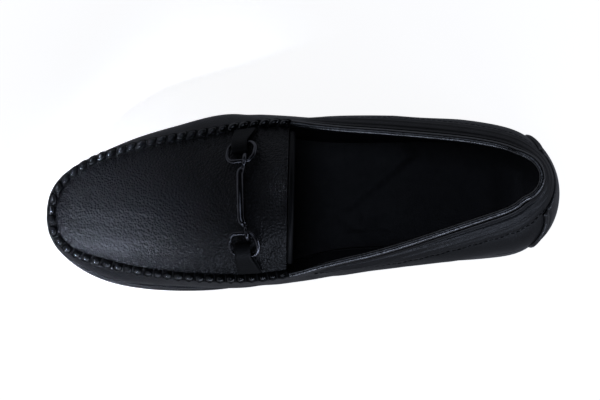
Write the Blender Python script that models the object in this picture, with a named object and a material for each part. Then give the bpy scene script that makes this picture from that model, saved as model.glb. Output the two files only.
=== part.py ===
"""A bit loafer for the right foot: a hollow moccasin upper on a rubber cup sole, with a metal bit.

The shoe lies along X with its toe at +X, its medial side at +Y and its sole on Z = 0. Each section
of the upper stands on a normal of the sole's outline, so that outline and a few columns of offsets
and heights give the whole form. Sizes are in metres.
"""

import math
from collections import namedtuple

import bmesh
import bpy
import numpy as np

# Driving sizes of the last and the sole
LENGTH = 0.292
BALL_WIDTH = 0.095
COLLAR_HEIGHT = 0.077
INSTEP_HEIGHT = 0.078
WALL = 0.002
GAP = 0.0003

# Heights of the sole along the foot
HEEL_FLOOR = 0.014
BALL_FLOOR = 0.007
FLOOR_FALL = (0.075, 0.175)
LIP_RISE = 0.005
LIP_WIDTH = 0.0022
ARCH_LIFT = 0.0025
ARCH_SPAN = (0.085, 0.155)
TOE_SPRING = 0.010
SPRING_START = 0.215
SPRING_POWER = 1.8
HEEL_BEVEL = 0.0012
HEEL_BEVEL_LENGTH = 0.010

# Edge of the sole, from the tread up to the lip
TREAD_RIM = 0.0042
EDGE_RISE = 0.0015
ARCH_BAND_SLOPE = 0.35
SIDE_GROOVE_BELOW_LIP = 0.0045
SIDE_GROOVE_DEPTH = 0.0008

# Flex grooves and red inlay of the tread
GROOVE_WIDTH = 0.0018
GROOVE_DEPTH = 0.0014
INLAY_RECESS = 0.0016
INLAY_THICKNESS = 0.0011

# Insole
INSOLE_THICKNESS = 0.0035
INSOLE_INSET = LIP_WIDTH + WALL + 3 * GAP

# Upper: throat, moccasin seam, collar and plug
THROAT_MEDIAL_X = 0.156
THROAT_LATERAL_X = 0.1495
FLANK_SHARE = 0.45
COLLAR_STEP = 0.0008
COLLAR_SHARE = 0.80
COLLAR_FADE = (0.125, 0.145)
RIDGE_POWER = 1.4
CROWN_POWER = 2.2
CROWN_SKEW = 0.10
TIP_HEIGHT = 0.0405
TOE_SWELL = 0.003
TOE_SWELL_START = 0.40

# Trim of the upper
PIPING_RADIUS = 0.0019
PIPING_END = 0.0008
THROAT_RADIUS = 0.0017
THROAT_REACH = 0.93
STRAP_THICKNESS = 0.0012
STRAP_HALF_ARC = 0.037
STRAP_TAPER = 0.38
STRAP_TAPER_SHARES = (0.40, 0.80)
STRAP_COLUMNS = 11

# The bit and its keeper tabs
BIT_X = 0.178
BIT_Y = 0.0023
RING_NEAR = 0.0195
RING_FAR = 0.0303
RING_HALF_WIDTH = 0.0076
RING_CORNER = 0.0042
RING_SHIFT = -0.0008
RING_SKEW = 0.20
RING_WIRE = 0.0013
BAR_RADIUS = 0.0024
BAR_BEND = 0.0036
BEND_BEFORE = 0.005
BEND_AFTER = 0.003
BAR_NECK = 0.0012
NECK_RADIUS = 0.0016
BAR_SHOULDER = 0.0030
HOOK_RADIUS = 0.0012
HOOK_PLAY = 0.0002
TAB_WIDTH = 0.0088
TAB_COLUMNS = 4
TAB_THICKNESS = 0.0012
TAB_FOLD = 0.0034
TAB_SHIFT = -0.0003
TAB_FLARE = 0.45
TAB_DRIFT = 0.0030
TAB_SEAM_GAP = 0.0005
TAB_TOP_SHARE = 0.85

# Fineness of the faceted forms
HEEL_STATIONS = 22
TOE_STATIONS = 24
PLUG_STRIPS = 12
THROAT_POINTS = 17
INLAY_POINTS = 9
GROOVE_STEP = 0.012
TUBE_SIDES = 8
WIRE_SIDES = 6
CURVE_SAMPLES = 2000

Section = namedtuple(
    "Section",
    "x medial lateral out_medial out_lateral in_medial in_lateral rim_medial rim_lateral tread",
)
# x is a share of the length and medial and lateral are shares of half the ball width, on the sole's
# outline. out is how far the flank stands beyond the outline, in how far the rim lies inside the
# flank, rim its height as a share of the collar height, tread the width of the medial edge band.
SECTIONS = (
    Section(0.021, 0.430, -0.474, 0.0002, -0.0025, 0.0167, 0.0116, 0.997, 0.995, 0.0042),
    Section(0.058, 0.615, -0.688, 0.0018, -0.0018, 0.0188, 0.0142, 0.984, 0.980, 0.0042),
    Section(0.123, 0.695, -0.787, 0.0028, 0.0010, 0.0167, 0.0146, 0.945, 0.935, 0.0042),
    Section(0.243, 0.707, -0.817, 0.0062, 0.0055, 0.0115, 0.0133, 0.855, 0.838, 0.0045),
    Section(0.360, 0.652, -0.838, 0.0112, 0.0074, 0.0054, 0.0110, 0.776, 0.754, 0.0095),
    Section(0.452, 0.680, -0.884, 0.0126, 0.0062, 0.0034, 0.0083, 0.737, 0.714, 0.0140),
    Section(0.527, 0.797, -0.968, 0.0092, 0.0034, 0.0008, 0.0056, 0.705, 0.679, 0.0140),
    Section(0.651, 0.963, -1.026, 0.0025, 0.0032, 0.0008, 0.0097, 0.628, 0.609, 0.0060),
    Section(0.723, 0.975, -0.964, 0.0000, 0.0019, 0.0010, 0.0078, 0.590, 0.577, 0.0042),
    Section(0.822, 0.926, -0.832, -0.0006, 0.0004, 0.0029, 0.0048, 0.551, 0.545, 0.0042),
    Section(0.901, 0.801, -0.663, -0.0008, -0.0012, 0.0032, 0.0019, 0.532, 0.526, 0.0042),
    Section(0.962, 0.569, -0.465, -0.0006, -0.0016, 0.0010, 0.0024, 0.519, 0.519, 0.0042),
    Section(0.990, 0.365, -0.250, -0.0006, -0.0014, 0.0012, 0.0022, 0.513, 0.513, 0.0042),
)
EndSection = namedtuple("EndSection", "x y out inset rim tread")
HEEL_END = EndSection(0.0, -0.021, -0.0010, 0.0095, 1.0, 0.0042)
TOE_END = EndSection(1.0, 0.052, -0.0010, 0.0018, 0.513, 0.0042)

# Shares of the wall's height at which its rows lie, with the collar's step between the rows at
# the collar share
WALL_SHARES = (0.0, 0.10, 0.21, 0.33, 0.45, 0.57, 0.69, COLLAR_SHARE - 0.01, COLLAR_SHARE + 0.01, 0.91, 1.0)

STRAP_SHARES = WALL_SHARES[1:8]

# Raised moccasin seam over the rim: how far inward and how far up each of its rows lies, and its
# share of the way from the wall to the plug on the inside
RidgeRow = namedtuple("RidgeRow", "inward up inside")
MOC_RIDGE = (
    RidgeRow(0.0006, 0.0020, 0.35),
    RidgeRow(0.0030, 0.0023, 0.70),
    RidgeRow(0.0046, 0.0002, 1.00),
)

# Flex grooves of the tread as bent lines from the medial to the lateral edge: x from the heel, y
FLEX_GROOVES = (
    ((0.0604, 0.0290), (0.0531, -0.0242), (0.0570, -0.0327)),
    ((0.0648, 0.0288), (0.0576, -0.0225), (0.0610, -0.0327)),
    ((0.1734, 0.0328), (0.1648, -0.0086), (0.1354, -0.0355)),
    ((0.1780, 0.0345), (0.1694, -0.0090), (0.1405, -0.0362)),
    ((0.2415, 0.0394), (0.2390, -0.0112), (0.1927, -0.0421)),
    ((0.2458, 0.0374), (0.2435, -0.0108), (0.2036, -0.0389)),
)
# Corners of the red inlay: the rails run from its heel end to its toe end
INLAY_LATERAL_RAIL = ((0.0702, -0.0186), (0.1591, -0.0052))
INLAY_MEDIAL_RAIL = ((0.0916, 0.0002), (0.1600, 0.0006))


def smooth_step(low, high, x):
    """Rise from 0 at low to 1 at high with flat ends."""
    s = np.clip((x - low) / (high - low), 0.0, 1.0)
    return s * s * (3.0 - 2.0 * s)


def toe_spring(x):
    """Height that the toe curls up to beyond the ball."""
    s = np.clip((x - SPRING_START) / (LENGTH - SPRING_START), 0.0, 1.0)
    return TOE_SPRING * s ** SPRING_POWER


def tread_height(x):
    """Height of the tread: flat at heel and ball, lifted at the arch, the toe and the heel's end."""
    s = np.clip((x - ARCH_SPAN[0]) / (ARCH_SPAN[1] - ARCH_SPAN[0]), 0.0, 1.0)
    arch = ARCH_LIFT * np.sin(math.pi * s) ** 2
    bevel = HEEL_BEVEL * np.clip(1.0 - x / HEEL_BEVEL_LENGTH, 0.0, 1.0) ** 2
    return toe_spring(x) + arch + bevel


def floor_height(x):
    """Height of the cup floor inside the sole."""
    fall = smooth_step(FLOOR_FALL[0], FLOOR_FALL[1], x)
    return toe_spring(x) + HEEL_FLOOR + (BALL_FLOOR - HEEL_FLOOR) * fall


def lip_height(x):
    """Height of the lip that holds the foot of the upper."""
    return floor_height(x) + LIP_RISE


class Loop:
    """The closed outline of the sole with the columns of the sections as smooth periodic curves."""

    def __init__(self):
        half = BALL_WIDTH / 2
        rows = [self.end_row(HEEL_END, half)]
        for s in SECTIONS:
            rows.append((s.x * LENGTH, s.medial * half, s.out_medial, s.in_medial,
                         s.rim_medial * COLLAR_HEIGHT, s.tread))
        self.toe_row = len(rows)
        rows.append(self.end_row(TOE_END, half))
        for s in reversed(SECTIONS):
            rows.append((s.x * LENGTH, s.lateral * half, s.out_lateral, s.in_lateral,
                         s.rim_lateral * COLLAR_HEIGHT, TREAD_RIM))
        self.rows = np.array(rows)
        self.steps = np.hypot(*(np.roll(self.rows[:, :2], -1, axis=0) - self.rows[:, :2]).T)
        self.knots = np.concatenate([[0.0], np.cumsum(self.steps)])
        self.bends = self.second_derivatives()
        self.total = self.knots[-1]
        self.toe = self.knots[self.toe_row]

    @staticmethod
    def end_row(end, half):
        return (end.x * LENGTH, end.y * half, end.out, end.inset, end.rim * COLLAR_HEIGHT, end.tread)

    def second_derivatives(self):
        """Solve the periodic cubic spline through the rows."""
        count = len(self.rows)
        matrix = np.zeros((count, count))
        right = np.zeros_like(self.rows)
        for i in range(count):
            before, after = self.steps[i - 1], self.steps[i]
            following = (i + 1) % count
            matrix[i, i - 1] += before
            matrix[i, i] += 2.0 * (before + after)
            matrix[i, following] += after
            right[i] = 6.0 * ((self.rows[following] - self.rows[i]) / after
                              - (self.rows[i] - self.rows[i - 1]) / before)
        return np.linalg.solve(matrix, right)

    def at(self, t):
        """Columns and outward plan normals at the distances t along the loop."""
        t = np.mod(np.atleast_1d(t), self.total)
        i = np.clip(np.searchsorted(self.knots, t, side="right") - 1, 0, len(self.rows) - 1)
        j = (i + 1) % len(self.rows)
        h = self.steps[i][:, None]
        b = (t - self.knots[i])[:, None] / h
        a = 1.0 - b
        low, high = self.rows[i], self.rows[j]
        values = (a * low + b * high
                  + ((a ** 3 - a) * self.bends[i] + (b ** 3 - b) * self.bends[j]) * h ** 2 / 6.0)
        slopes = ((high - low) / h
                  + ((1.0 - 3.0 * a ** 2) * self.bends[i] + (3.0 * b ** 2 - 1.0) * self.bends[j]) * h / 6.0)
        normal = np.stack([-slopes[:, 1], slopes[:, 0]], axis=1)
        normal /= np.linalg.norm(normal, axis=1)[:, None]
        return values, normal


LOOP = Loop()
OUTLINE = LOOP.at(np.linspace(0.0, LOOP.total, CURVE_SAMPLES))[0][:, :2]
CENTRE = np.append((OUTLINE.min(axis=0) + OUTLINE.max(axis=0)) / 2, 0.0)


def station_parameters(throat_x, start, toe):
    """Distances along one side of the loop: heel to throat, then throat to toe."""
    dense = np.linspace(start, toe, CURVE_SAMPLES)
    x = LOOP.at(dense)[0][:, 0]
    throat = np.interp(throat_x, np.maximum.accumulate(x), dense)
    back = np.linspace(start, throat, HEEL_STATIONS + 1)
    front = np.linspace(throat, toe, TOE_STATIONS + 1)
    return np.concatenate([back, front[1:]])


STATIONS = HEEL_STATIONS + TOE_STATIONS
MEDIAL = station_parameters(THROAT_MEDIAL_X, 0.0, LOOP.toe)
LATERAL = station_parameters(THROAT_LATERAL_X, LOOP.total, LOOP.toe)
# Once round the shoe: the medial side from heel to toe, then the lateral side back to the heel
AROUND = np.concatenate([MEDIAL, LATERAL[-2:0:-1]])


def ring(t, offset, height):
    """Points at an offset from the sole's outline, at heights that follow x on the outline."""
    values, normal = LOOP.at(t)
    plan = values[:, :2] + normal * np.broadcast_to(offset, (len(values),))[:, None]
    return np.column_stack([plan, np.broadcast_to(height, (len(values),))])


def wall_section(t, share):
    """Outer points of the wall at a share of its height, its normals and its rising directions."""
    values, normal = LOOP.at(t)
    x, out, inset, rim = values[:, 0], values[:, 2], values[:, 3], values[:, 4]
    foot = -(LIP_WIDTH + GAP)
    foot_height = lip_height(x) + 2 * GAP
    rise = min(share / FLANK_SHARE, 1.0)
    fall = max((share - FLANK_SHARE) / (1.0 - FLANK_SHARE), 0.0)
    offset = foot + (out - foot) * (1.0 - (1.0 - rise) ** 2) - inset * fall ** 2
    lean = (out - foot) * 2.0 * (1.0 - rise) / FLANK_SHARE - inset * 2.0 * fall / (1.0 - FLANK_SHARE)
    climb = rim - foot_height
    size = np.hypot(lean, climb)
    points = ring(t, offset, foot_height + climb * share)
    outward = np.column_stack([normal * (climb / size)[:, None], -lean / size])
    upward = np.column_stack([normal * (lean / size)[:, None], climb / size])
    return points, outward, upward


def collar_step(t, share):
    """Thickness that the collar band adds to the wall between the throat and the heel."""
    if share < COLLAR_SHARE:
        return np.zeros(len(np.atleast_1d(t)))
    x = LOOP.at(t)[0][:, 0]
    return COLLAR_STEP * (1.0 - smooth_step(COLLAR_FADE[0], COLLAR_FADE[1], x))


def seam_row(t, row):
    """Points of one row of the moccasin seam over the rim."""
    points, _, _ = wall_section(t, 1.0)
    normal = LOOP.at(t)[1]
    inward = np.column_stack([-normal * row.inward, np.full(len(normal), row.up)])
    return points + inward


def crown(w):
    """Height share of the plug across the foot: 0 at both edges, 1 near the medial side of the middle."""
    skewed = w - CROWN_SKEW * (1.0 - w ** 2)
    return 1.0 - np.abs(skewed) ** CROWN_POWER


def ridge_height(x):
    """Height of the plug along its ridge, from the throat to the tip."""
    throat = (THROAT_MEDIAL_X + THROAT_LATERAL_X) / 2
    s = np.clip((x - throat) / (LENGTH - throat), 0.0, 1.0)
    swell = TOE_SWELL * np.sin(math.pi * np.clip((s - TOE_SWELL_START) / (1.0 - TOE_SWELL_START), 0.0, 1.0))
    return TIP_HEIGHT + (INSTEP_HEIGHT - TIP_HEIGHT) * (1.0 - s) ** RIDGE_POWER + swell


def plug_point(station, w):
    """Point of the plug at a station number and a place across it, -1 lateral to +1 medial."""
    station = np.atleast_1d(station)
    numbers = np.arange(STATIONS + 1)
    medial = seam_row(np.interp(station, numbers, MEDIAL), MOC_RIDGE[-1])
    lateral = seam_row(np.interp(station, numbers, LATERAL), MOC_RIDGE[-1])
    w = np.broadcast_to(w, (len(station),))
    mix = ((1.0 + w) / 2)[:, None]
    points = medial * mix + lateral * (1.0 - mix)
    middle = (medial + lateral) / 2
    height = np.maximum(ridge_height(middle[:, 0]) - middle[:, 2], 0.0)
    points[:, 2] += height * crown(w)
    return points


def plug_normal(station, w):
    """Outward normals of the plug, from small steps along and across it."""
    ahead, across = 0.02, 0.01
    along = plug_point(station + ahead, w) - plug_point(station - ahead, w)
    aside = plug_point(station, np.clip(w + across, -1, 1)) - plug_point(station, np.clip(w - across, -1, 1))
    normal = np.cross(along, aside)
    return normal / np.linalg.norm(normal, axis=1)[:, None]


def drape(x, y, height):
    """Point at a height above the plug over the place x, y, found by a few steps of search."""
    station, w = HEEL_STATIONS + 4.0, 0.0
    for _ in range(8):
        here = plug_point(station, w)[0]
        d_station = (plug_point(station + 0.05, w)[0] - here)[:2] / 0.05
        d_w = (plug_point(station, w + 0.02)[0] - here)[:2] / 0.02
        move = np.linalg.solve(np.column_stack([d_station, d_w]), np.array([x, y]) - here[:2])
        station = float(np.clip(station + move[0], HEEL_STATIONS + 0.1, STATIONS - 1.0))
        w = float(np.clip(w + move[1], -0.97, 0.97))
    return plug_point(station, w)[0] + plug_normal(np.array([station]), np.array([w]))[0] * height


def add_solid(name, vertices, faces, material, sharp=35.0):
    """Make one object from points and faces, facing out, smooth apart from its sharp edges."""
    mesh = bpy.data.meshes.new(name)
    mesh.from_pydata([tuple(v) for v in np.asarray(vertices) - CENTRE], [], faces)
    work = bmesh.new()
    work.from_mesh(mesh)
    bmesh.ops.recalc_face_normals(work, faces=work.faces)
    bmesh.ops.triangulate(work, faces=work.faces)
    work.to_mesh(mesh)
    work.free()
    mesh.shade_smooth()
    mesh.set_sharp_from_angle(angle=math.radians(sharp))
    solid = bpy.data.objects.new(name, mesh)
    bpy.context.scene.collection.objects.link(solid)
    if material is not None:
        mesh.materials.append(material)
    return solid


def cut(solid, cutter):
    """Take the cutter out of the solid."""
    modifier = solid.modifiers.new(cutter.name, "BOOLEAN")
    modifier.operation = "DIFFERENCE"
    modifier.solver = "EXACT"
    modifier.object = cutter


def add_shell(name, outer, inner, faces, material):
    """Make a wall between two like sheets and close it along their free edges."""
    count = len(outer)
    uses = {}
    for face in faces:
        for a, b in zip(face, face[1:] + face[:1]):
            key = (min(a, b), max(a, b))
            uses[key] = None if key in uses else (a, b)
    edges = [edge for edge in uses.values() if edge is not None]
    sides = [(a, b, b + count, a + count) for a, b in edges]
    back = [tuple(v + count for v in reversed(face)) for face in faces]
    return add_solid(name, np.vstack([outer, inner]), faces + back + sides, material)


def add_cutter(name, outer, inner, faces):
    """Make a hidden solid between two like sheets, which only cuts others."""
    cutter = add_shell(name, outer, inner, faces, None)
    cutter.hide_render = True
    cutter.display_type = "WIRE"
    return cutter


def grid_faces(rows):
    """Quads between neighbouring rows of point numbers."""
    faces = []
    for low, high in zip(rows, rows[1:]):
        for k in range(len(low) - 1):
            faces.append((low[k], high[k], high[k + 1], low[k + 1]))
    return faces


def add_tube(name, path, radii, sides, material, closed=False):
    """Sweep a circle along a path with a frame that doesn't twist."""
    path = np.asarray(path)
    count = len(path)
    radii = np.broadcast_to(radii, (count,))
    if closed:
        tangents = np.roll(path, -1, axis=0) - np.roll(path, 1, axis=0)
    else:
        tangents = np.gradient(path, axis=0)
    tangents /= np.linalg.norm(tangents, axis=1)[:, None]
    reference = np.cross(tangents[0], (0.0, 0.0, 1.0))
    if np.linalg.norm(reference) < 0.3:
        reference = np.cross(tangents[0], (1.0, 0.0, 0.0))
    angles = np.linspace(0.0, 2.0 * math.pi, sides, endpoint=False)
    vertices = []
    for point, tangent, radius in zip(path, tangents, radii):
        reference = reference - tangent * np.dot(reference, tangent)
        reference /= np.linalg.norm(reference)
        second = np.cross(tangent, reference)
        for angle in angles:
            vertices.append(point + radius * (math.cos(angle) * reference + math.sin(angle) * second))
    faces = []
    for i in range(count if closed else count - 1):
        here, there = i * sides, ((i + 1) % count) * sides
        for k in range(sides):
            n = (k + 1) % sides
            faces.append((here + k, there + k, there + n, here + n))
    if not closed:
        faces.append(tuple(range(sides)))
        faces.append(tuple(range((count - 1) * sides, count * sides)))
    return add_solid(name, vertices, faces, material, sharp=50.0)


def add_material(name, colour, roughness, metallic=0.0):
    """Make a plain material."""
    material = bpy.data.materials.new(name)
    material.use_nodes = True
    shader = material.node_tree.nodes["Principled BSDF"]
    shader.inputs["Base Color"].default_value = (*colour, 1.0)
    shader.inputs["Roughness"].default_value = roughness
    shader.inputs["Metallic"].default_value = metallic
    return material


def cap_faces(first):
    """Strips across a ring of points from the medial to the lateral side."""
    medial = [first + i for i in range(STATIONS + 1)]
    lateral = [first] + [first + len(AROUND) - i for i in range(1, STATIONS)] + [first + STATIONS]
    faces = [(medial[0], medial[1], lateral[1])]
    for i in range(1, STATIONS - 1):
        faces.append((medial[i], medial[i + 1], lateral[i + 1], lateral[i]))
    faces.append((medial[STATIONS - 1], medial[STATIONS], lateral[STATIONS - 1]))
    return faces


def add_lofted(name, rings, material):
    """Join rings round the shoe into a closed solid with a cap at its first and last ring."""
    count = len(AROUND)
    faces = cap_faces(0) + cap_faces((len(rings) - 1) * count)
    for r in range(len(rings) - 1):
        for i in range(count):
            n = (i + 1) % count
            faces.append((r * count + i, r * count + n, (r + 1) * count + n, (r + 1) * count + i))
    return add_solid(name, np.vstack(rings), faces, material)


def add_outsole(material):
    """The rubber unit: tread, edge band, side with its groove, lip and cup floor."""
    values = LOOP.at(AROUND)[0]
    x, tread = values[:, 0], values[:, 5]
    bottom, lip, floor = tread_height(x), lip_height(x), floor_height(x)
    edge = bottom + EDGE_RISE + ARCH_BAND_SLOPE * (tread - TREAD_RIM)
    groove = lip - SIDE_GROOVE_BELOW_LIP
    step = SIDE_GROOVE_DEPTH
    rings = [
        ring(AROUND, -tread, bottom),
        ring(AROUND, -step, edge),
        ring(AROUND, 0.0, edge + step),
        ring(AROUND, 0.0, groove),
        ring(AROUND, -step, groove + step / 2),
        ring(AROUND, -step, groove + 1.5 * step),
        ring(AROUND, -step / 3, groove + 2.5 * step),
        ring(AROUND, -step / 3, lip - step),
        ring(AROUND, -step, lip),
        ring(AROUND, -LIP_WIDTH, lip),
        ring(AROUND, -LIP_WIDTH, floor),
    ]
    return add_lofted("outsole", rings, material)


def groove_cutter(number, points):
    """A square groove along a bent line of the tread."""
    points = np.array(points)
    line = [points[0]]
    for start, end in zip(points, points[1:]):
        pieces = max(2, int(np.linalg.norm(end - start) / GROOVE_STEP))
        line.extend(start + (end - start) * k / pieces for k in range(1, pieces + 1))
    line = np.array(line)
    tangents = np.gradient(line, axis=0)
    tangents /= np.linalg.norm(tangents, axis=1)[:, None]
    aside = np.column_stack([-tangents[:, 1], tangents[:, 0]]) * GROOVE_WIDTH / 2
    bottom = tread_height(line[:, 0])
    outer = np.column_stack([np.vstack([line + aside, line - aside]), np.tile(bottom - GROOVE_DEPTH, 2)])
    inner = np.column_stack([np.vstack([line + aside, line - aside]), np.tile(bottom + GROOVE_DEPTH, 2)])
    count = len(line)
    rows = [[i, i + count] for i in range(count)]
    return add_cutter("groove_cutter_%d" % number, outer, inner, grid_faces(rows))


def inlay_sheet(grow, above):
    """Points of the inlay's plan, grown by a margin, at a height above the tread.

    The heel end is a slanted edge with a sharp corner, so it moves out three times as far.
    """
    steps = np.linspace(0.0, 1.0, INLAY_POINTS)[:, None]
    lateral = np.array(INLAY_LATERAL_RAIL)
    medial = np.array(INLAY_MEDIAL_RAIL)
    low = lateral[0] + (lateral[1] - lateral[0]) * steps
    high = medial[0] + (medial[1] - medial[0]) * steps
    low[:, 1] -= grow
    high[:, 1] += grow
    for rail in (low, high):
        rail[0, 0] -= 3 * grow
        rail[-1, 0] += grow
    plan = np.vstack([low, high])
    return np.column_stack([plan, tread_height(plan[:, 0]) + above])


def inlay_faces():
    """Strips between the two rails of the inlay."""
    return grid_faces([[i, i + INLAY_POINTS] for i in range(INLAY_POINTS)])


def add_insole(material):
    """The sock board on the cup floor, inside the wall of the upper."""
    floor = floor_height(LOOP.at(AROUND)[0][:, 0])
    low, high = floor + GAP, floor + GAP + INSOLE_THICKNESS
    rings = [ring(AROUND, -INSOLE_INSET, low), ring(AROUND, -INSOLE_INSET, high)]
    return add_lofted("insole", rings, material)


def upper_sheets():
    """Outer and inner points of the upper and the faces of one sheet."""
    outer, inner = [], []

    def add(points, directions):
        first = len(outer)
        outer.extend(points)
        inner.extend(points - directions * WALL)
        return list(range(first, len(outer)))

    def wall_rows(t):
        values, normal = LOOP.at(t)
        foot = ring(t, -(LIP_WIDTH + GAP), floor_height(values[:, 0]) + GAP)
        rows = [add(foot, np.column_stack([normal, np.zeros(len(normal))]))]
        for share in WALL_SHARES:
            points, outward, _ = wall_section(t, share)
            step = collar_step(t, share)[:, None]
            row = add(points, outward)
            for number, lift in zip(row, outward * step):
                outer[number] = outer[number] + lift
            rows.append(row)
        return rows

    def seam_rows(t, rim, plug_inner):
        rows = []
        for row in MOC_RIDGE:
            first = len(outer)
            outer.extend(seam_row(t, row))
            for k in range(len(t)):
                inner.append(inner[rim[k]] * (1.0 - row.inside) + plug_inner[k] * row.inside)
            rows.append(list(range(first, len(outer))))
        return rows

    medial = wall_rows(MEDIAL)
    lateral = wall_rows(LATERAL[1:-1])
    lateral = [[m[0]] + row + [m[-1]] for m, row in zip(medial, lateral)]

    front = np.arange(HEEL_STATIONS, STATIONS + 1, dtype=float)
    near_tip = np.minimum(front, STATIONS - 0.5)
    edge = {}
    for side, w, t in (("medial", 1.0, MEDIAL), ("lateral", -1.0, LATERAL)):
        directions = plug_normal(near_tip, np.full(len(front), w * 0.96))
        directions[-1] = (0.0, 0.0, 1.0)
        edge[side] = seam_row(t[HEEL_STATIONS:], MOC_RIDGE[-1]) - directions * WALL
    medial_seam = seam_rows(MEDIAL[HEEL_STATIONS:], medial[-1][HEEL_STATIONS:], edge["medial"])
    lateral_seam = seam_rows(LATERAL[HEEL_STATIONS:-1], lateral[-1][HEEL_STATIONS:-1], edge["lateral"][:-1])
    lateral_seam = [row + [m[-1]] for m, row in zip(medial_seam, lateral_seam)]

    faces = grid_faces(medial) + grid_faces(lateral)
    faces += grid_faces([medial[-1][HEEL_STATIONS:]] + medial_seam)
    faces += grid_faces([lateral[-1][HEEL_STATIONS:]] + lateral_seam)

    across = np.linspace(1.0, -1.0, PLUG_STRIPS + 1)[1:-1]
    strips = []
    for k, station in enumerate(front[:-1]):
        stations = np.full(len(across), station)
        row = add(plug_point(stations, across), plug_normal(np.maximum(stations, HEEL_STATIONS), across))
        strips.append([medial_seam[-1][k]] + row + [lateral_seam[-1][k]])
    faces += grid_faces(strips)
    tip = medial_seam[-1][-1]
    faces += [(a, tip, b) for a, b in zip(strips[-1], strips[-1][1:])]
    return np.array(outer), np.array(inner), faces


def add_piping(material):
    """The bead on the topline, from the medial throat corner round the heel to the lateral one."""
    medial = MEDIAL[:HEEL_STATIONS + 1].copy()
    lateral = LATERAL[:HEEL_STATIONS + 1].copy()
    medial[-1] -= PIPING_END
    lateral[-1] += PIPING_END
    t = np.concatenate([medial[::-1], lateral[1:]])
    points, outward, upward = wall_section(t, 1.0)
    middle = (collar_step(t, 1.0) - WALL)[:, None] / 2
    path = points + outward * middle + upward * (PIPING_RADIUS + GAP)
    return add_tube("topline_piping", path, PIPING_RADIUS, TUBE_SIDES, material)


def add_throat_binding(material):
    """The folded strip along the straight throat edge of the plug."""
    w = np.linspace(THROAT_REACH, -THROAT_REACH, THROAT_POINTS)
    station = np.full(len(w), float(HEEL_STATIONS))
    points = plug_point(station, w)
    back = points - plug_point(station + 0.2, w)
    back /= np.linalg.norm(back, axis=1)[:, None]
    path = points - plug_normal(station, w) * WALL / 2 + back * (THROAT_RADIUS + GAP)
    return add_tube("throat_binding", path, THROAT_RADIUS, TUBE_SIDES, material)


def add_back_strap(material):
    """The patch over the heel seam, from above the lip to below the collar band, narrower at the top."""
    across = np.linspace(1.0, -1.0, STRAP_COLUMNS)
    outer, inner, rows = [], [], []
    for share in STRAP_SHARES:
        t = across * STRAP_HALF_ARC * (1.0 - STRAP_TAPER * smooth_step(*STRAP_TAPER_SHARES, share))
        points, outward, _ = wall_section(t, share)
        rows.append(list(range(len(outer), len(outer) + len(t))))
        inner.extend(points + outward * GAP)
        outer.extend(points + outward * (GAP + STRAP_THICKNESS))
    return add_shell("back_strap", np.array(outer), np.array(inner), grid_faces(rows), material)


RING_HEIGHT = 2 * GAP + TAB_THICKNESS + RING_WIRE


def add_bit_ring(name, side, material):
    """A D ring that lies over the plug on one side of the bit, its far side nearer the heel."""
    half = (RING_FAR - RING_NEAR) / 2
    middle = (RING_FAR + RING_NEAR) / 2
    path = []
    for corner, (sx, sy) in enumerate(((1, 1), (-1, 1), (-1, -1), (1, -1))):
        for k in range(5):
            angle = math.radians(90.0 * corner + 22.5 * k)
            along = sx * (RING_HALF_WIDTH - RING_CORNER) + RING_CORNER * math.cos(angle)
            across = sy * (half - RING_CORNER) + RING_CORNER * math.sin(angle)
            path.append((along, across))
        if sy * sx > 0:
            path.append((0.0, sy * half))
    points = []
    for along, across in path:
        x = BIT_X + RING_SHIFT + along - RING_SKEW * across
        points.append(drape(x, BIT_Y + side * (middle + across), RING_HEIGHT))
    return add_tube(name, points, RING_WIRE, WIRE_SIDES, material, closed=True)


def add_bit_bar(material):
    """The bar across the plug: each end bends toward the heel and hooks over the near side of a ring."""
    hook = RING_WIRE + GAP + HOOK_RADIUS + HOOK_PLAY
    profile = []
    for angle in (0.0, 36.0, 72.0, 108.0, 144.0, 180.0):
        a = math.radians(angle)
        profile.append((RING_NEAR + hook * math.cos(a), RING_HEIGHT + hook * math.sin(a), HOOK_RADIUS))
    reach = RING_NEAR - hook
    profile.append((reach - BAR_NECK, RING_HEIGHT, NECK_RADIUS))
    profile.append((reach - BAR_SHOULDER, RING_HEIGHT, BAR_RADIUS))
    profile.append((reach / 2, RING_HEIGHT, BAR_RADIUS))
    path = [(-across, height, radius) for across, height, radius in profile]
    path.append((0.0, RING_HEIGHT, BAR_RADIUS))
    path.extend(reversed(profile))
    points = []
    for across, height, _ in path:
        bend = BAR_BEND * smooth_step(reach - BEND_BEFORE, reach + BEND_AFTER, abs(across))
        points.append(drape(BIT_X - bend, BIT_Y + across, height))
    return add_tube("bit_bar", points, [radius for _, _, radius in path], TUBE_SIDES, material)


def seam_edge_y(side_parameters, x):
    """Where the plug's edge lies at a place along the foot."""
    edge = seam_row(side_parameters[HEEL_STATIONS:-4], MOC_RIDGE[-1])
    return float(np.interp(x, edge[:, 0], edge[:, 1]))


def tab_line(side, start):
    """Places and heights along a tab: in from the seam, round the far side of the ring and back."""
    far = BIT_Y + side * RING_FAR
    fold = far - side * TAB_FOLD
    low = GAP + TAB_THICKNESS / 2
    radius = RING_WIRE + GAP + TAB_THICKNESS / 2
    line = [(start, low), ((start + far) / 2, low), (fold, low)]
    for angle in (-45.0, 0.0, 45.0, 90.0):
        a = math.radians(angle)
        line.append((fold - side * radius * math.cos(a), RING_HEIGHT + radius * math.sin(a)))
    line.append((far, RING_HEIGHT + radius))
    end = far + (start - far) * TAB_TOP_SHARE
    top = low + TAB_THICKNESS + GAP
    line.append(((far + end) / 2, (RING_HEIGHT + radius + top) / 2))
    line.append((end, top))
    return np.array(line)


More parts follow.
